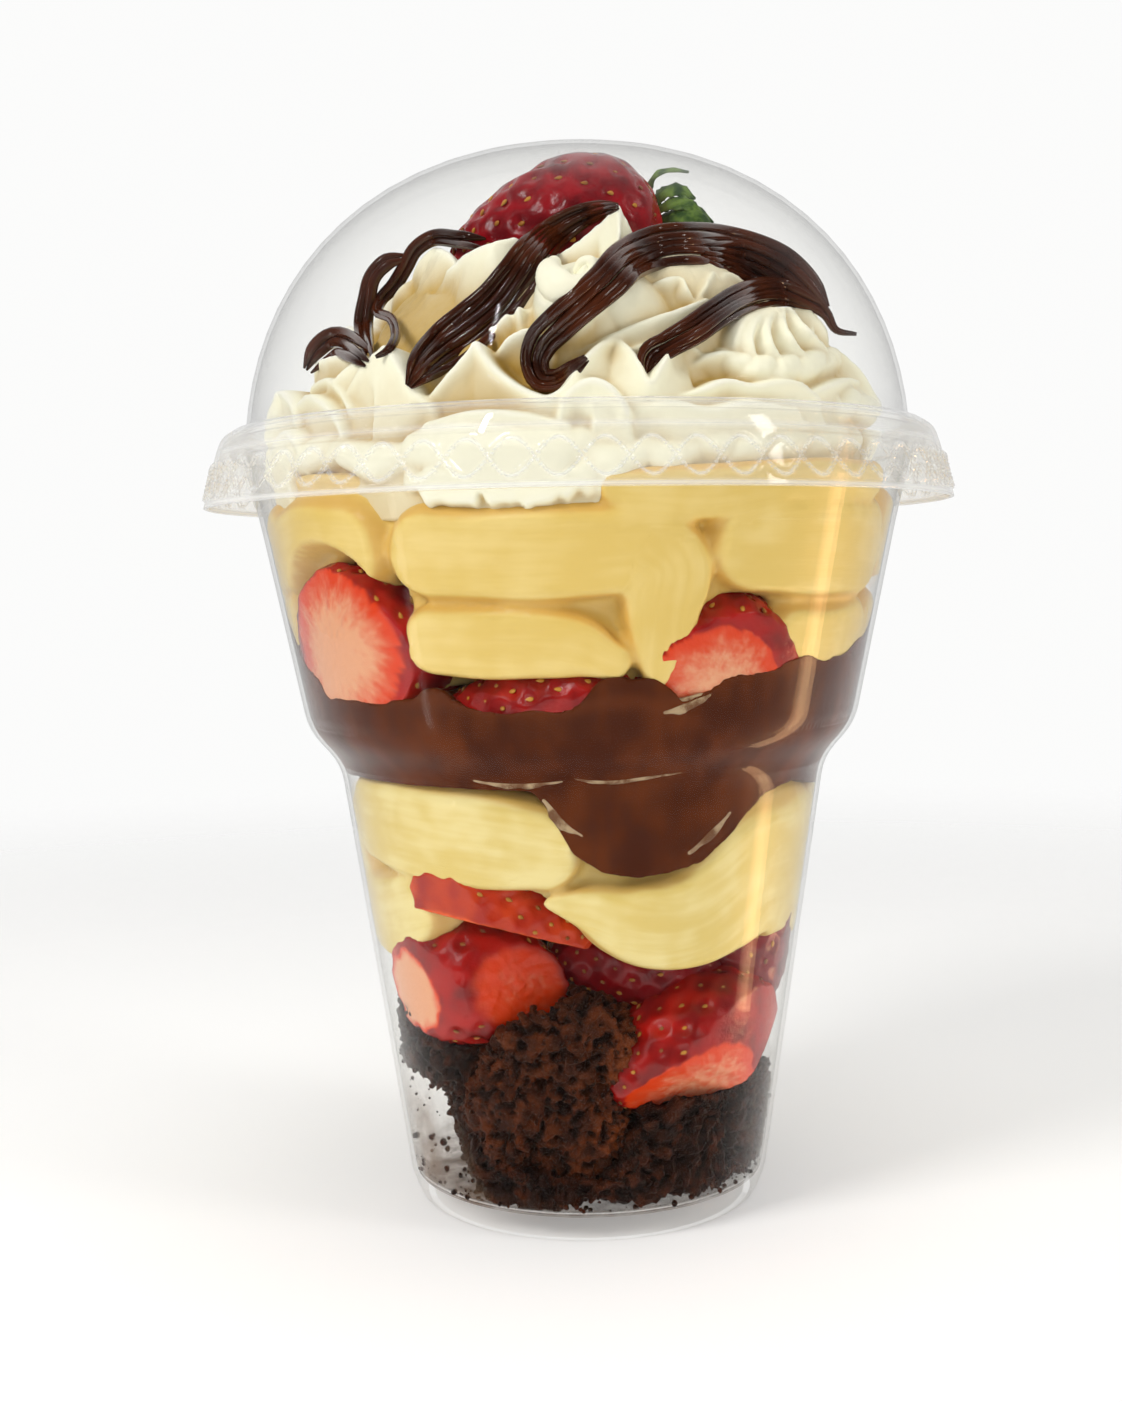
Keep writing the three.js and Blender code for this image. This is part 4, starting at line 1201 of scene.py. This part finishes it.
# %% The film on the cup's foot
film_turns = np.arange(-180, 180, 2.0)
film_heights = np.concatenate([np.linspace(4.0, 8.0, 9), np.linspace(9.0, 27.0, 19)])
film_side = [(12, FLOOR_TOP + 0.06), (25.0, FLOOR_TOP + 0.06)]
film_side += [(wall(height) - 0.07, height) for height in film_heights]
film_side += [(wall(height) - 0.2, height) for height in film_heights[::-1]]
film_side += [(24.8, FLOOR_TOP + 0.2), (12, FLOOR_TOP + 0.2)]
film_rings = np.array([polar(film_turns, radius, height) for radius, height in film_side])
film_mesh = new_mesh("film", *skin_of_rings(film_rings, (0, 0, FLOOR_TOP + 0.06), (0, 0, FLOOR_TOP + 0.2)))
face_out(film_mesh)
points = points_of(film_mesh)
turns = np.degrees(np.arctan2(points[:, 0], -points[:, 1]))
reach = 6.0 + 18.0 * ease(-92, -70, turns) * ease(-30, -46, turns)
behind = ease(-58, -50, turns) * ease(90, 78, turns)
mark(film_mesh, "film", ease(1.0, 0.25, points[:, 2] / reach) * (1 - 0.65 * behind * ease(3.6, 4.4, points[:, 2])))
film = Finish("film")
thickness = film.mark("film") * film.step(film.grain(3.5, 4.0), 0.3, 0.75, 0.2, 0.65)
film.surface(film.principled(
    Base_Color=colour(132, 100, 72), Roughness=0.5, Specular_IOR_Level=0.1, Alpha=thickness))
add_piece("crumb_film", film_mesh, film.material, "brownie")

# %% [markdown]
# The whipped cream is a heap of folds left by a star nozzle. It is made as a relief: a shell of three
# half axes wraps the heap, and each direction from its centre gets a lift above or below that shell.
# A fold is a crest line with a cliff behind it and a face that falls away in front, first steeply and
# then gently. A roll is round across its line. The highest of them all wins, so that they meet in
# sharp valleys. The folds in front follow the photograph: rows of across, down and lift on the
# picture. The back continues in the same way from seeded numbers.

# %% The shell and its folds
HEAP_HALF = np.array([45.0, 45.0, 39.5])
HEAP_CENTRE = np.array([0, 0, 99.5])
HEAP_BASE = 95.2


def heap_ways(angle, climb):
    """Directions from the heap's centre, by turn round the cup and climb, in degrees."""
    climb = np.radians(climb)
    return polar(angle, np.cos(climb), np.sin(climb))


def seen_way(across, down, lift):
    """The direction from the heap's centre to what is seen on the picture at that lift."""
    half = HEAP_HALF + lift
    way = sight(across, down) / half
    start = (CAMERA_AT - HEAP_CENTRE) / half
    along, middle, rest = way @ way, start @ way, start @ start - 1
    inside = max(middle * middle - along * rest, 0.0)
    return unit(start + way * (-middle - math.sqrt(inside)) / along)


def crest_line(rows, pictured):
    """A smooth line of directions with its lifts and half widths."""
    if pictured:
        rows = smooth_line([(row[0], row[1], 0.0, *row[2:]) for row in rows], 2.0)
        ways = np.array([seen_way(row[0], row[1], row[3]) for row in rows])
        return ways, rows[:, 3:]
    rows = smooth_line([(row[0], row[1], 0.0, *row[2:]) for row in rows], 0.5)
    return heap_ways(rows[:, 0], rows[:, 1]), rows[:, 3:]


def near_line(ways, line):
    """Grid directions near a line, the nearest step of it, and how far off and on which side."""
    middle = unit(line.mean(0))
    reach = (line @ middle).min()
    near = np.flatnonzero(ways @ middle > math.cos(min(math.acos(min(reach, 1.0)) + 0.42, 3.1)))
    spots, posts = ways[near] * HEAP_HALF, line * HEAP_HALF
    away = np.linalg.norm(spots[:, None] - posts[None], axis=2)
    nearest = away.argmin(1)
    ahead = unit(np.gradient(posts, axis=0))
    below = np.cross(ahead, line)[nearest]
    side = ((spots - posts[nearest]) * below).sum(1)
    return near, nearest, away[np.arange(len(near)), nearest], side


def wobble(line, pitch):
    """Seeded unevenness along a line."""
    return np.array([noise.noise(Vector((step * pitch, 3.1, len(line)))) for step in range(len(line))])


def add_fold(lift, ways, rows, drop=1.6, reach=0.7, slope=0.3, cliff=3.0, ragged=0.0, pictured=True):
    """Raise a fold: a crest with a cliff behind it and a face that falls away in front."""
    line, sizes = crest_line(rows, pictured)
    near, nearest, away, side = near_line(ways, line)
    crest = sizes[:, 0] + ragged * wobble(line, 0.22)
    soft = np.sqrt(away**2 + 0.16) - 0.4
    front = drop * (1 - np.exp(-soft / reach)) + slope * soft
    share = ease(-0.35, 0.35, side / np.maximum(away, 1e-6))
    height = crest[nearest] - front * share - cliff * soft * (1 - share)
    lift[near] = np.maximum(lift[near], height)


def add_roll(lift, ways, rows, pitch=0.0, bite=0.0, ragged=0.0, pictured=True):
    """Raise a roll that is round across its line, with grooves across it at a pitch."""
    line, sizes = crest_line(rows, pictured)
    near, nearest, away, side = near_line(ways, line)
    half = (sizes[:, 1] * (1 + ragged * wobble(line, 0.16)))[nearest]
    height = sizes[nearest, 0] - half + np.sqrt(np.maximum(half**2 - away**2, 0)) - 3 * np.maximum(away - half, 0)
    if pitch:
        step = nearest * (0.26 if pictured else 0.36)
        height -= bite * (1 - np.abs(np.sin(math.pi * (step + 0.5 * side) / pitch)) ** 0.6)
    lift[near] = np.maximum(lift[near], height)


# %% Folds and rolls that follow the photograph
PICTURED_FOLDS = [
    {"rows": [(404, 414, -5), (424, 401, -3), (442, 379, -2.2), (458, 361, -1.6), (469, 348, -1), (474, 341, -0.6),
              (479, 349, -1), (488, 362, -1.6), (506, 378, -2), (528, 391, -1.6), (546, 396, -0.6), (562, 389, 0),
              (576, 371, 0), (590, 352, -0.5), (604, 341, -1.4), (617, 339, -1.8), (629, 346, -1), (640, 363, 0),
              (651, 381, 0.5), (661, 367, 0), (672, 349, -1), (684, 342, -1.8), (698, 349, -2.4), (712, 364, -3)],
     "drop": 1.3, "slope": 0.22},
    {"rows": [(560, 414, -0.6), (566, 396, 0.6), (577, 384, 1.3), (592, 378, 1.6), (606, 382, 1.6), (618, 394, 1.2),
              (628, 410, 0.6)], "drop": 1.6, "slope": 0.1},
    {"rows": [(328, 428, -4), (342, 402, -2.4), (352, 380, -1.4), (366, 359, -0.4), (376, 350, 0.2), (382, 345, 0.5),
              (388, 352, 0.2), (399, 369, -0.5), (412, 390, -1.2), (430, 406, -2.6)], "drop": 0.5, "slope": 0.16},
    {"rows": [(298, 380, -4), (306, 367, -2.6), (322, 358, -2), (338, 354, -1.8), (352, 353, -1.6), (362, 360, -2)],
     "drop": 0.8},
    {"rows": [(322, 402, -3), (329, 384, -1.8), (342, 370, -1), (354, 361, -0.8)], "drop": 0.8, "slope": 0.2},
    {"rows": [(306, 398, -3), (312, 383, -1.8), (324, 378, -1.3), (336, 388, -1.3), (346, 406, -1.6)]},
    {"rows": [(291, 432, -2.6), (294, 406, -1.2), (304, 395, -0.6), (318, 401, -0.6), (332, 417, -1.2),
              (340, 434, -2)], "slope": 0.16},
    {"rows": [(262, 440, 0.2), (266, 412, 0.6), (276, 391, 0.6), (287, 402, -0.4), (293, 426, -1.6)], "slope": 0.2},
    {"rows": [(262, 476, 0.2), (270, 448, 0.6), (281, 432, 0.4), (294, 446, -0.6), (300, 466, -1.6)], "slope": 0.2},
    {"rows": [(372, 302, -6), (375, 282, -4), (386, 268, -3), (400, 268, -3.2), (410, 276, -3.6)], "drop": 1.6},
    {"rows": [(448, 268, -2.4), (464, 254, -0.8), (486, 243, 0.6), (514, 236, 0.2)], "drop": 0.8, "slope": 0.6},
    {"rows": [(407, 292, -5.4), (409, 268, -2.6), (417, 252, -1.2), (431, 246, -0.8), (446, 250, -1.2), (456, 263, -2.6)],
     "drop": 0.4, "slope": 0.5},
    {"rows": [(376, 330, -7), (384, 304, -5.4), (404, 290, -4.8), (436, 294, -4.6), (470, 290, -4.4), (506, 282, -4.4)],
     "drop": 0.1, "slope": 0.1},
    {"rows": [(545, 262, -3.6), (572, 244, -1.6), (596, 225, 0.6), (610, 212, 2.4), (617, 203, 3.6), (623, 212, 2.4),
              (630, 226, 0.8), (638, 243, -1.6), (646, 256, -3.6)], "drop": 0.5, "slope": 0.62},
    {"rows": [(598, 294, 0.6), (605, 283, 1.6), (608, 270, 2.2), (602, 259, 2.6), (592, 258, 2.6), (584, 267, 2.4),
              (581, 281, 1.8), (586, 295, 0.6)], "drop": 1.0, "slope": 0.6, "cliff": 1.5},
    {"rows": [(632, 244, -2.4), (644, 231, -0.4), (662, 224, 0.8), (682, 225, 0.8), (706, 239, -1)], "drop": 0.6},
    {"rows": [(640, 302, -5), (652, 285, -3), (668, 276, -1.8), (682, 275, -1.8), (688, 288, -2.2), (696, 300, -3)]},
    {"rows": [(696, 300, -3), (704, 289, -2.4), (711, 276, -1.8), (715, 270, -1.6), (720, 278, -2.2), (728, 271, -1.8),
              (746, 279, -2.4)], "drop": 1.4},
    {"rows": [(570, 354, -4), (592, 344, -2.4), (620, 330, -1.4), (650, 318, -1), (680, 308, -1.4), (708, 297, -2.4)],
     "drop": 0.9, "slope": 0.34},
    {"rows": [(622, 350, -2.4), (650, 342, -1.6), (680, 333, -1.2), (706, 321, -1.6), (732, 306, -2.6)], "drop": 1.0},
    {"rows": [(476, 348, -5.4), (488, 332, -4), (499, 321, -3), (508, 313, -2.4), (520, 309, -2), (533, 305, -1.8),
              (548, 309, -2), (562, 318, -3)], "ragged": 1.1, "drop": 1.4},
    {"rows": [(490, 366, -4.4), (500, 346, -3), (512, 334, -2.2), (530, 328, -1.8), (542, 336, -2.2), (549, 352, -3)],
     "slope": 0.36},
    {"rows": [(690, 366, -3.2), (712, 353, -2), (736, 352, -1.6), (760, 366, -1), (790, 371, -0.8), (820, 366, -1),
              (852, 356, -2.2)], "drop": 1.2},
    {"rows": [(672, 398, -1.6), (700, 390, -1), (730, 379, -0.6), (756, 384, -0.2), (782, 380, 0.3), (802, 382, 0.4),
              (822, 398, 0)], "drop": 1.2, "slope": 0.2},
    {"rows": [(798, 402, -1), (826, 387, -0.4), (854, 378, -0.8), (874, 386, -2)], "drop": 1.2, "slope": 0.2},
    {"rows": [(736, 358, -2.6), (739, 338, -1.4), (747, 320, -1.2), (768, 308, -2)], "slope": 0.5, "cliff": 1.6},
    {"rows": [(757, 356, -1.2), (753, 336, -0.4), (759, 320, -0.6), (774, 307, -1.8)], "slope": 0.5, "cliff": 1.6},
    {"rows": [(783, 358, -0.8), (773, 340, 0), (771, 322, -0.4), (780, 307, -1.6)], "slope": 0.5, "cliff": 1.6},
    {"rows": [(808, 354, -1), (795, 338, 0), (787, 322, -0.4), (786, 307, -1.6)], "slope": 0.5, "cliff": 1.6},
    {"rows": [(828, 347, -1.6), (816, 333, -0.4), (803, 320, -0.6), (793, 307, -1.8)], "slope": 0.5, "cliff": 1.6},
    {"rows": [(844, 340, -2.8), (834, 326, -1.4), (818, 314, -1.2), (798, 307, -2.2)], "slope": 0.5, "cliff": 1.6},
    {"rows": [(834, 352, -3.0), (850, 348, -1.8), (868, 362, -0.8), (880, 386, -0.4), (884, 410, 0.2)], "drop": 0.9},
    {"rows": [(424, 424, -1.4), (470, 412, -0.6), (520, 414, -0.4), (566, 424, -0.8)], "drop": 0.5, "slope": 0.1},
    {"rows": [(640, 408, -1), (672, 402, -0.2), (712, 408, 0), (750, 402, 0.2), (800, 410, -0.2)], "drop": 0.6},
]
PICTURED_ROLLS = [
    {"rows": [(553, 266, 0.4, 2.2), (556, 279, 1.8, 3.0), (568, 289, 2.4, 3.2), (586, 288, 1.8, 2.6)]},
    {"rows": [(728, 352, -2, 1.8), (756, 361, -0.6, 2.2), (790, 364, -0.2, 2.4), (822, 358, -0.8, 2.2),
              (846, 348, -2.2, 1.8)], "pitch": 3.4, "bite": 0.7},
    {"rows": [(846, 404, -1.0, 2.2), (862, 398, -0.6, 2.4), (880, 406, -0.2, 2.4)], "pitch": 2.6, "bite": 0.7},
    {"rows": [(410, 448, -1, 3.0), (440, 444, 0.5, 4.0), (480, 450, 1, 4.2), (520, 454, 1, 4.2), (556, 450, 0.6, 4.0),
              (580, 444, -0.6, 3.2)]},
    {"rows": [(408, 478, -1, 2.0), (424, 482, 0.2, 2.8), (446, 486, 0.8, 2.2), (474, 481, 1, 2.4), (500, 484, 1, 2.2),
              (526, 485, 1, 2.5), (548, 482, 0.8, 2.4), (570, 478, 0.4, 2.2), (592, 474, 0, 2.6), (612, 470, -0.6, 2.2),
              (626, 462, -1, 1.6)], "pitch": 5.0, "bite": 0.6, "ragged": 0.7},
    {"rows": [(338, 452, -1.6, 2.2), (365, 460, -0.6, 2.8), (396, 456, -1.2, 2.2)]},
    {"rows": [(590, 452, -0.8, 2.2), (612, 462, 0, 3.0), (638, 454, -0.8, 2.4)]},
    {"rows": [(648, 448, -1.2, 2.2), (668, 456, -0.6, 2.6), (692, 448, -1.4, 2.2)]},
    {"rows": [(700, 438, -1.2, 2.6), (740, 444, -0.8, 3.0), (780, 440, -1, 2.8), (820, 438, -1.4, 2.8),
              (862, 434, -2, 2.6)], "pitch": 5.0, "bite": 0.7},
    {"rows": [(262, 458, -0.2, 2.4), (298, 452, -1, 2.6), (332, 446, -1.8, 2.2)], "pitch": 4.0, "bite": 0.6},
]

# %% The heap of whipped cream
front_turns = np.arange(-96, 96, 0.4)
back_turns = np.linspace(96, 264, 140, endpoint=False)
heap_turns = np.concatenate([front_turns, back_turns])
climbs = np.concatenate([np.linspace(-6, 74, 144), np.linspace(75.2, 89.4, 9)])
ways = heap_ways(heap_turns[None, :], climbs[:, None]).reshape(-1, 3)
lift = np.full(len(ways), -7.6) + 1.2 * lumps(ways * 45, 14.0, 2, 31.0)
for fold in PICTURED_FOLDS:
    add_fold(lift, ways, **fold)
for roll in PICTURED_ROLLS:
    add_roll(lift, ways, **roll)
for climb, count in ((7, 12), (20, 11), (34, 9), (48, 7), (62, 5), (74, 3)):
    start = 86 if climb < 30 else 78
    sweep = 360 - 2 * start if climb < 70 else 200
    for step in range(count):
        angle = start + sweep * (step + rng.uniform(-0.15, 0.15)) / count
        span = sweep / count * rng.uniform(1.0, 1.3) * 0.5
        tip = rng.uniform(5, 9)
        lean = rng.uniform(-0.5, 0.5) * span
        rows = [(angle - span, climb - 3, -4.5), (angle - span * 0.5, climb + tip * 0.35, -2.4),
                (angle + lean, climb + tip, rng.uniform(-1, 0.3)), (angle + span * 0.55, climb + tip * 0.3, -2.2),
                (angle + span, climb - 3, -4.5)]
        add_fold(lift, ways, rows, rng.uniform(0.7, 1.5), 0.8, rng.uniform(0.15, 0.4), pictured=False)
        if step % 2:
            rows = [(angle - span * 0.9, climb - 5, -3.2, 2.4), (angle, climb - 3.5, -1.8, 3.2),
                    (angle + span * 0.9, climb - 5, -3.4, 2.4)]
            add_roll(lift, ways, rows, 3.4, 0.6, pictured=False)
lift = lift.reshape(len(climbs), len(heap_turns))
for axis in (0, 1):
    before, after = np.roll(lift, 1, axis), np.roll(lift, -1, axis)
    if axis == 0:
        before[0], after[-1] = lift[0], lift[-1]
    lift = 0.66 * lift + 0.17 * (before + after)
wide = lift.copy()
for step in range(14):
    wide = 0.5 * wide + 0.25 * (np.roll(wide, 1, 1) + np.roll(wide, -1, 1))
    wide[1:-1] = 0.5 * wide[1:-1] + 0.25 * (wide[:-2] + wide[2:])
crest = (lift - wide).reshape(-1)
level = lift.reshape(-1)
points = HEAP_CENTRE + (HEAP_HALF + level[:, None]) * ways
points += unit(points - HEAP_CENTRE) * (lumps(points, 2.2, 3, 21.0) * 0.14)[:, None]


def under_lid(points, gap):
    """Keep points inside the cup's mouth and the dome."""
    height = points[:, 2]
    limit = np.where(height < 106.0, wall(np.minimum(height, 104.9)), 99.0)
    limit = np.minimum(limit, np.where(height > 104.0, dome_radius(np.maximum(height, 109.0)) - LID_WALL, 99.0))
    radius = np.maximum(radius_of(points), 1e-6)
    moved = points.copy()
    moved[:, :2] *= np.minimum(1, (limit - gap) / radius)[:, None]
    return moved


points = under_lid(points, 0.12).reshape(len(climbs), len(heap_turns), 3)
foot = [polar(heap_turns, radius, HEAP_BASE) for radius in (39.5, 20, 4)]
whipped_mesh = new_mesh("whipped_cream", *skin_of_rings(np.concatenate([foot[::-1], points])))
face_out(whipped_mesh)
foot_points = 3 * len(heap_turns)
# The level and crest marks carry painted shade and painted highlight.
for name, values, foot_value in (("level", level, -6.0), ("crest", crest, 0.0)):
    mark(whipped_mesh, name, np.concatenate([np.full(foot_points, foot_value), values, [foot_value, values[-1]]]))

whip = Finish("whipped_cream")
cloud = whip.grain(5.0, 3.0)
# Painted shade: low parts and valleys of the relief are coloured darker and yellower.
rise = whip.step(whip.mark("level") * 0.8 + whip.mark("crest") * 2.0 + (cloud - 0.5) * 1.2, -5.2, 0.0)
tone = whip.blend(rise, colour(198, 162, 82), colour(254, 251, 224))
# Painted highlight: crests are whitened.
tone = whip.blend(whip.step(whip.mark("crest"), 0.2, 1.5), tone, colour(255, 254, 244))
whip.surface(whip.principled(
    Base_Color=tone, Roughness=0.4, Specular_IOR_Level=0.4, Normal=whip.bump(whip.grain(1.6, 3.0), 0.12, 0.3)))
add_piece("whipped_cream_heap", whipped_mesh, whip.material, "whipped_cream", "whipped_cream")

# %% [markdown]
# The chocolate drizzle falls along the lines of sight of the photograph, so each strand is found by
# casting rays onto the whipped cream and the strawberry. A strand is stiffer than the cream, so it
# bridges the hollows. Strands that run side by side overlap into a ribbed ribbon.

# %% Drizzle
PIXELS_PER_MM = 7.6
DRIZZLES = [
    {"width": 6.0, "strands": 6, "path": [
        (618, 206, 0.15), (603, 209, 0.35), (577, 218, 0.52), (552, 234, 0.7), (532, 254, 0.9),
        (516, 278, 1), (497, 304, 1.05), (472, 327, 1.05), (446, 347, 1), (424, 366, 0.75), (409, 386, 0.2)]},
    {"width": 5.2, "strands": 5, "path": [
        (586, 358, 0.2), (573, 368, 0.35), (556, 379, 0.5), (542, 379, 0.6), (535, 362, 0.7), (541, 343, 0.85),
        (557, 326, 0.95), (582, 303, 1), (606, 281, 1), (626, 260, 1), (648, 249, 1), (684, 243, 1), (720, 246, 1.1),
        (754, 257, 1.2), (784, 272, 1.2), (808, 290, 0.9), (826, 308, 0.3)]},
    {"width": 4.4, "strands": 5, "path": [
        (646, 372, 0.3), (650, 358, 0.8), (668, 346, 0.85), (694, 331, 0.9), (718, 314, 0.9), (744, 299, 0.95),
        (776, 292, 0.95), (804, 298, 0.7), (826, 314, 0.3), (836, 330, 0.14), (856, 334, 0.1)]},
    {"width": 4.8, "strands": 5, "path": [
        (700, 252, 0.4), (730, 259, 0.9), (760, 268, 1.1), (786, 282, 1.1), (806, 294, 0.9), (824, 306, 0.4)]},
    {"width": 2.0, "strands": 2, "path": [
        (484, 243, 1), (458, 239, 1), (434, 238, 1), (416, 250, 1), (406, 268, 1), (394, 286, 1), (380, 300, 0.8),
        (376, 312, 0.6), (390, 320, 0.6), (394, 336, 0.6), (386, 350, 0.5), (376, 356, 0.4)]},
    {"width": 2.4, "strands": 2, "path": [
        (404, 258, 0.7), (388, 262, 1), (374, 276, 1), (368, 300, 1), (364, 330, 1), (368, 358, 0.7)]},
    {"width": 3.6, "strands": 3, "path": [
        (368, 360, 0.8), (352, 349, 1), (336, 343, 1), (320, 354, 0.9), (308, 370, 0.4)]},
]


def tree_of(meshes):
    """A search tree over meshes, in millimetres."""
    corners, faces, base = [], [], 0
    for mesh in meshes:
        corners.append(points_of(mesh))
        faces.extend([[v + base for v in face.vertices] for face in mesh.polygons])
        base += len(mesh.vertices)
    return BVHTree.FromPolygons(np.vstack(corners).tolist(), faces)


cream_tree = tree_of([whipped_mesh, top_mesh])


def soften(values, reach):
    """A running average, with the ends held."""
    kernel = np.hanning(2 * reach + 3)[1:-1]
    padded = np.concatenate([np.full(reach, values[0]), values, np.full(reach, values[-1])])
    return np.convolve(padded, kernel / kernel.sum(), mode="valid")


def reaches(line):
    """How far each line of sight goes before it meets the cream."""
    found = []
    for spot in line:
        way = sight(*spot)
        distance = cream_tree.ray_cast(Vector(CAMERA_AT), Vector(way))[3]
        found.append((HEAP_CENTRE - CAMERA_AT) @ way if distance is None else distance)
    found = np.array(found)
    padded = np.concatenate([np.full(3, found[0]), found, np.full(3, found[-1])])
    near = np.min([padded[shift:shift + len(found)] for shift in range(7)], axis=0)
    return soften(near, 5)


def ribbon(path, width, count, seed):
    """Strands of chocolate side by side, laid on the cream along a path on the picture."""
    rows = smooth_line([(across, down, 0.0, share) for across, down, share in path], 4.0)
    line, share = rows[:, :2], rows[:, 3]
    along = unit(np.gradient(line, axis=0))
    side = np.stack([-along[:, 1], along[:, 0]], axis=1)
    steps = np.arange(len(line))
    middle = reaches(line)
    half = width / count * 0.61
    found = []
    for index in range(count):
        wander = np.array([noise.noise(Vector((i * 0.05, seed + index * 3.7, 0.5))) for i in steps])
        aside = ((index - (count - 1) / 2) * width / count + wander * 0.6) * share
        spots = line + side * (aside * PIXELS_PER_MM)[:, None]
        ways = np.array([sight(*spot) for spot in spots])
        reach = 0.5 * reaches(spots) + 0.5 * middle + 0.3 * np.sin(index * 2.1 + seed)
        ends = np.minimum(1, (np.minimum(steps, steps[::-1]) + 0.6) / 5) ** 0.5
        size = half * (0.45 + 0.55 * share) * (1 + 0.2 * wander) * ends
        places = CAMERA_AT + ways * (reach - half * 0.7)[:, None]
        found.append(tube(under_lid(places, half + 0.15), -ways, size, size * 0.95, sides=14))
    return found


strands = []
for number, drizzle in enumerate(DRIZZLES):
    strands += ribbon(drizzle["path"], drizzle["width"], drizzle["strands"], number * 40.0)
strand_points, strand_faces, base = [], [], 0
for part_points, part_faces in strands:
    strand_faces.extend([tuple(corner + base for corner in face) for face in part_faces])
    strand_points.append(part_points)
    base += len(part_points)
drizzle_mesh = new_mesh("drizzle", np.vstack(strand_points), strand_faces)
face_out(drizzle_mesh)
syrup = Finish("drizzle")
tone = syrup.blend(syrup.step(syrup.grain(9.0, 2.0), 0.35, 0.7), colour(46, 18, 8), colour(78, 35, 15))
syrup.surface(syrup.principled(
    Base_Color=tone, Roughness=0.13, Specular_IOR_Level=0.55, Normal=syrup.bump(syrup.grain(4.0, 2.0), 0.1, 0.3)))
add_piece("drizzle", drizzle_mesh, syrup.material, "chocolate", "whipped_cream")

# %% [markdown]
# Between the two wide bands of drizzle the cream ends in a curl: a fat drop that winds up to a thin
# end. It stands off the heap, so it is a tube of its own, set on the picture as the strands are.

# %% The curl of whipped cream
CURL = [
    (554, 263, 0.9), (550, 270, 1.5), (552, 280, 2.0), (560, 287, 2.2), (571, 289, 1.9), (582, 285, 1.4),
    (591, 278, 1.1), (595, 270, 0.9), (590, 262, 0.8), (582, 263, 0.7), (578, 270, 0.6)]
rows = smooth_line([(across, down, 0.0, half) for across, down, half in CURL], 2.0)
ways = np.array([sight(*spot) for spot in rows[:, :2]])
places = CAMERA_AT + ways * (soften(reaches(rows[:, :2]), 8) + 0.3)[:, None]
curl_mesh = new_mesh("curl", *tube(places, -ways, rows[:, 3], rows[:, 3], sides=28))
face_out(curl_mesh)
# The curl takes the whip finish's lightest colour and part of its painted crest highlight.
mark(curl_mesh, "level", np.zeros(len(curl_mesh.vertices)))
mark(curl_mesh, "crest", np.full(len(curl_mesh.vertices), 0.5))
add_piece("cream_curl", curl_mesh, whip.material, "whipped_cream", "whipped_cream")

# %% [markdown]
# The strawberry on top keeps its leaves: narrow blades that curl back from the shoulder.

# %% Leaves of the top strawberry
LEAVES = [
    {"path": [(650, 204, -6), (650, 186, -6), (657, 174, -7), (671, 170, -7), (688, 172, -7)], "half": 0.5},
    {"path": [(654, 206, -6), (664, 193, -7), (679, 190, -8), (694, 198, -8)], "half": 1.3},
    {"path": [(656, 212, -7), (674, 203, -9), (690, 206, -10), (702, 214, -10)], "half": 1.3},
    {"path": [(658, 220, -7), (678, 214, -10), (698, 219, -11), (717, 232, -10)], "half": 1.6},
    {"path": [(658, 222, -7), (676, 226, -9), (690, 230, -9), (702, 233, -8)], "half": 1.3},
    {"path": [(658, 208, -5), (678, 206, -3), (698, 212, -2), (712, 222, -1)], "half": 1.5},
    {"path": [(656, 200, -5), (668, 192, -3), (684, 196, -1), (696, 206, 0)], "half": 1.4},
    {"path": [(660, 222, -5), (682, 224, -3), (702, 228, -3), (714, 236, -3)], "half": 1.5},
]
leaf_parts, base = [], 0
leaf_points, leaf_faces = [], []
for leaf in LEAVES:
    places = []
    for across, down, depth in leaf["path"]:
        way = sight(across, down)
        places.append(CAMERA_AT + way * (depth - CAMERA_AT[1]) / way[1])
    line = smooth_line(places, 0.5)
    share = np.linspace(0, 1, len(line))
    wide = leaf["half"] * np.sin(math.pi * (0.12 + 0.86 * share)) ** 0.8 * (1 + 0.18 * np.sin(share * 26)) + 0.1
    outward = np.tile([-0.25, -0.75, 0.6], (len(line), 1))
    part_points, part_faces = tube(under_lid(line, 1.2), outward, wide, wide * 0 + 0.22, sides=16)
    leaf_faces.extend([tuple(corner + base for corner in face) for face in part_faces])
    leaf_points.append(part_points)
    base += len(part_points)
leaf_mesh = new_mesh("leaves", np.vstack(leaf_points), leaf_faces)
face_out(leaf_mesh)
green = Finish("leaf")
tone = green.blend(green.step(green.grain(2.0, 3.0), 0.35, 0.68), colour(36, 66, 18), colour(104, 132, 50))
green.surface(green.principled(Base_Color=tone, Roughness=0.45, Normal=green.bump(green.grain(0.8, 2.0), 0.4, 0.3)))
add_piece("leaves", leaf_mesh, green.material, "leaf", "strawberry_leaves")
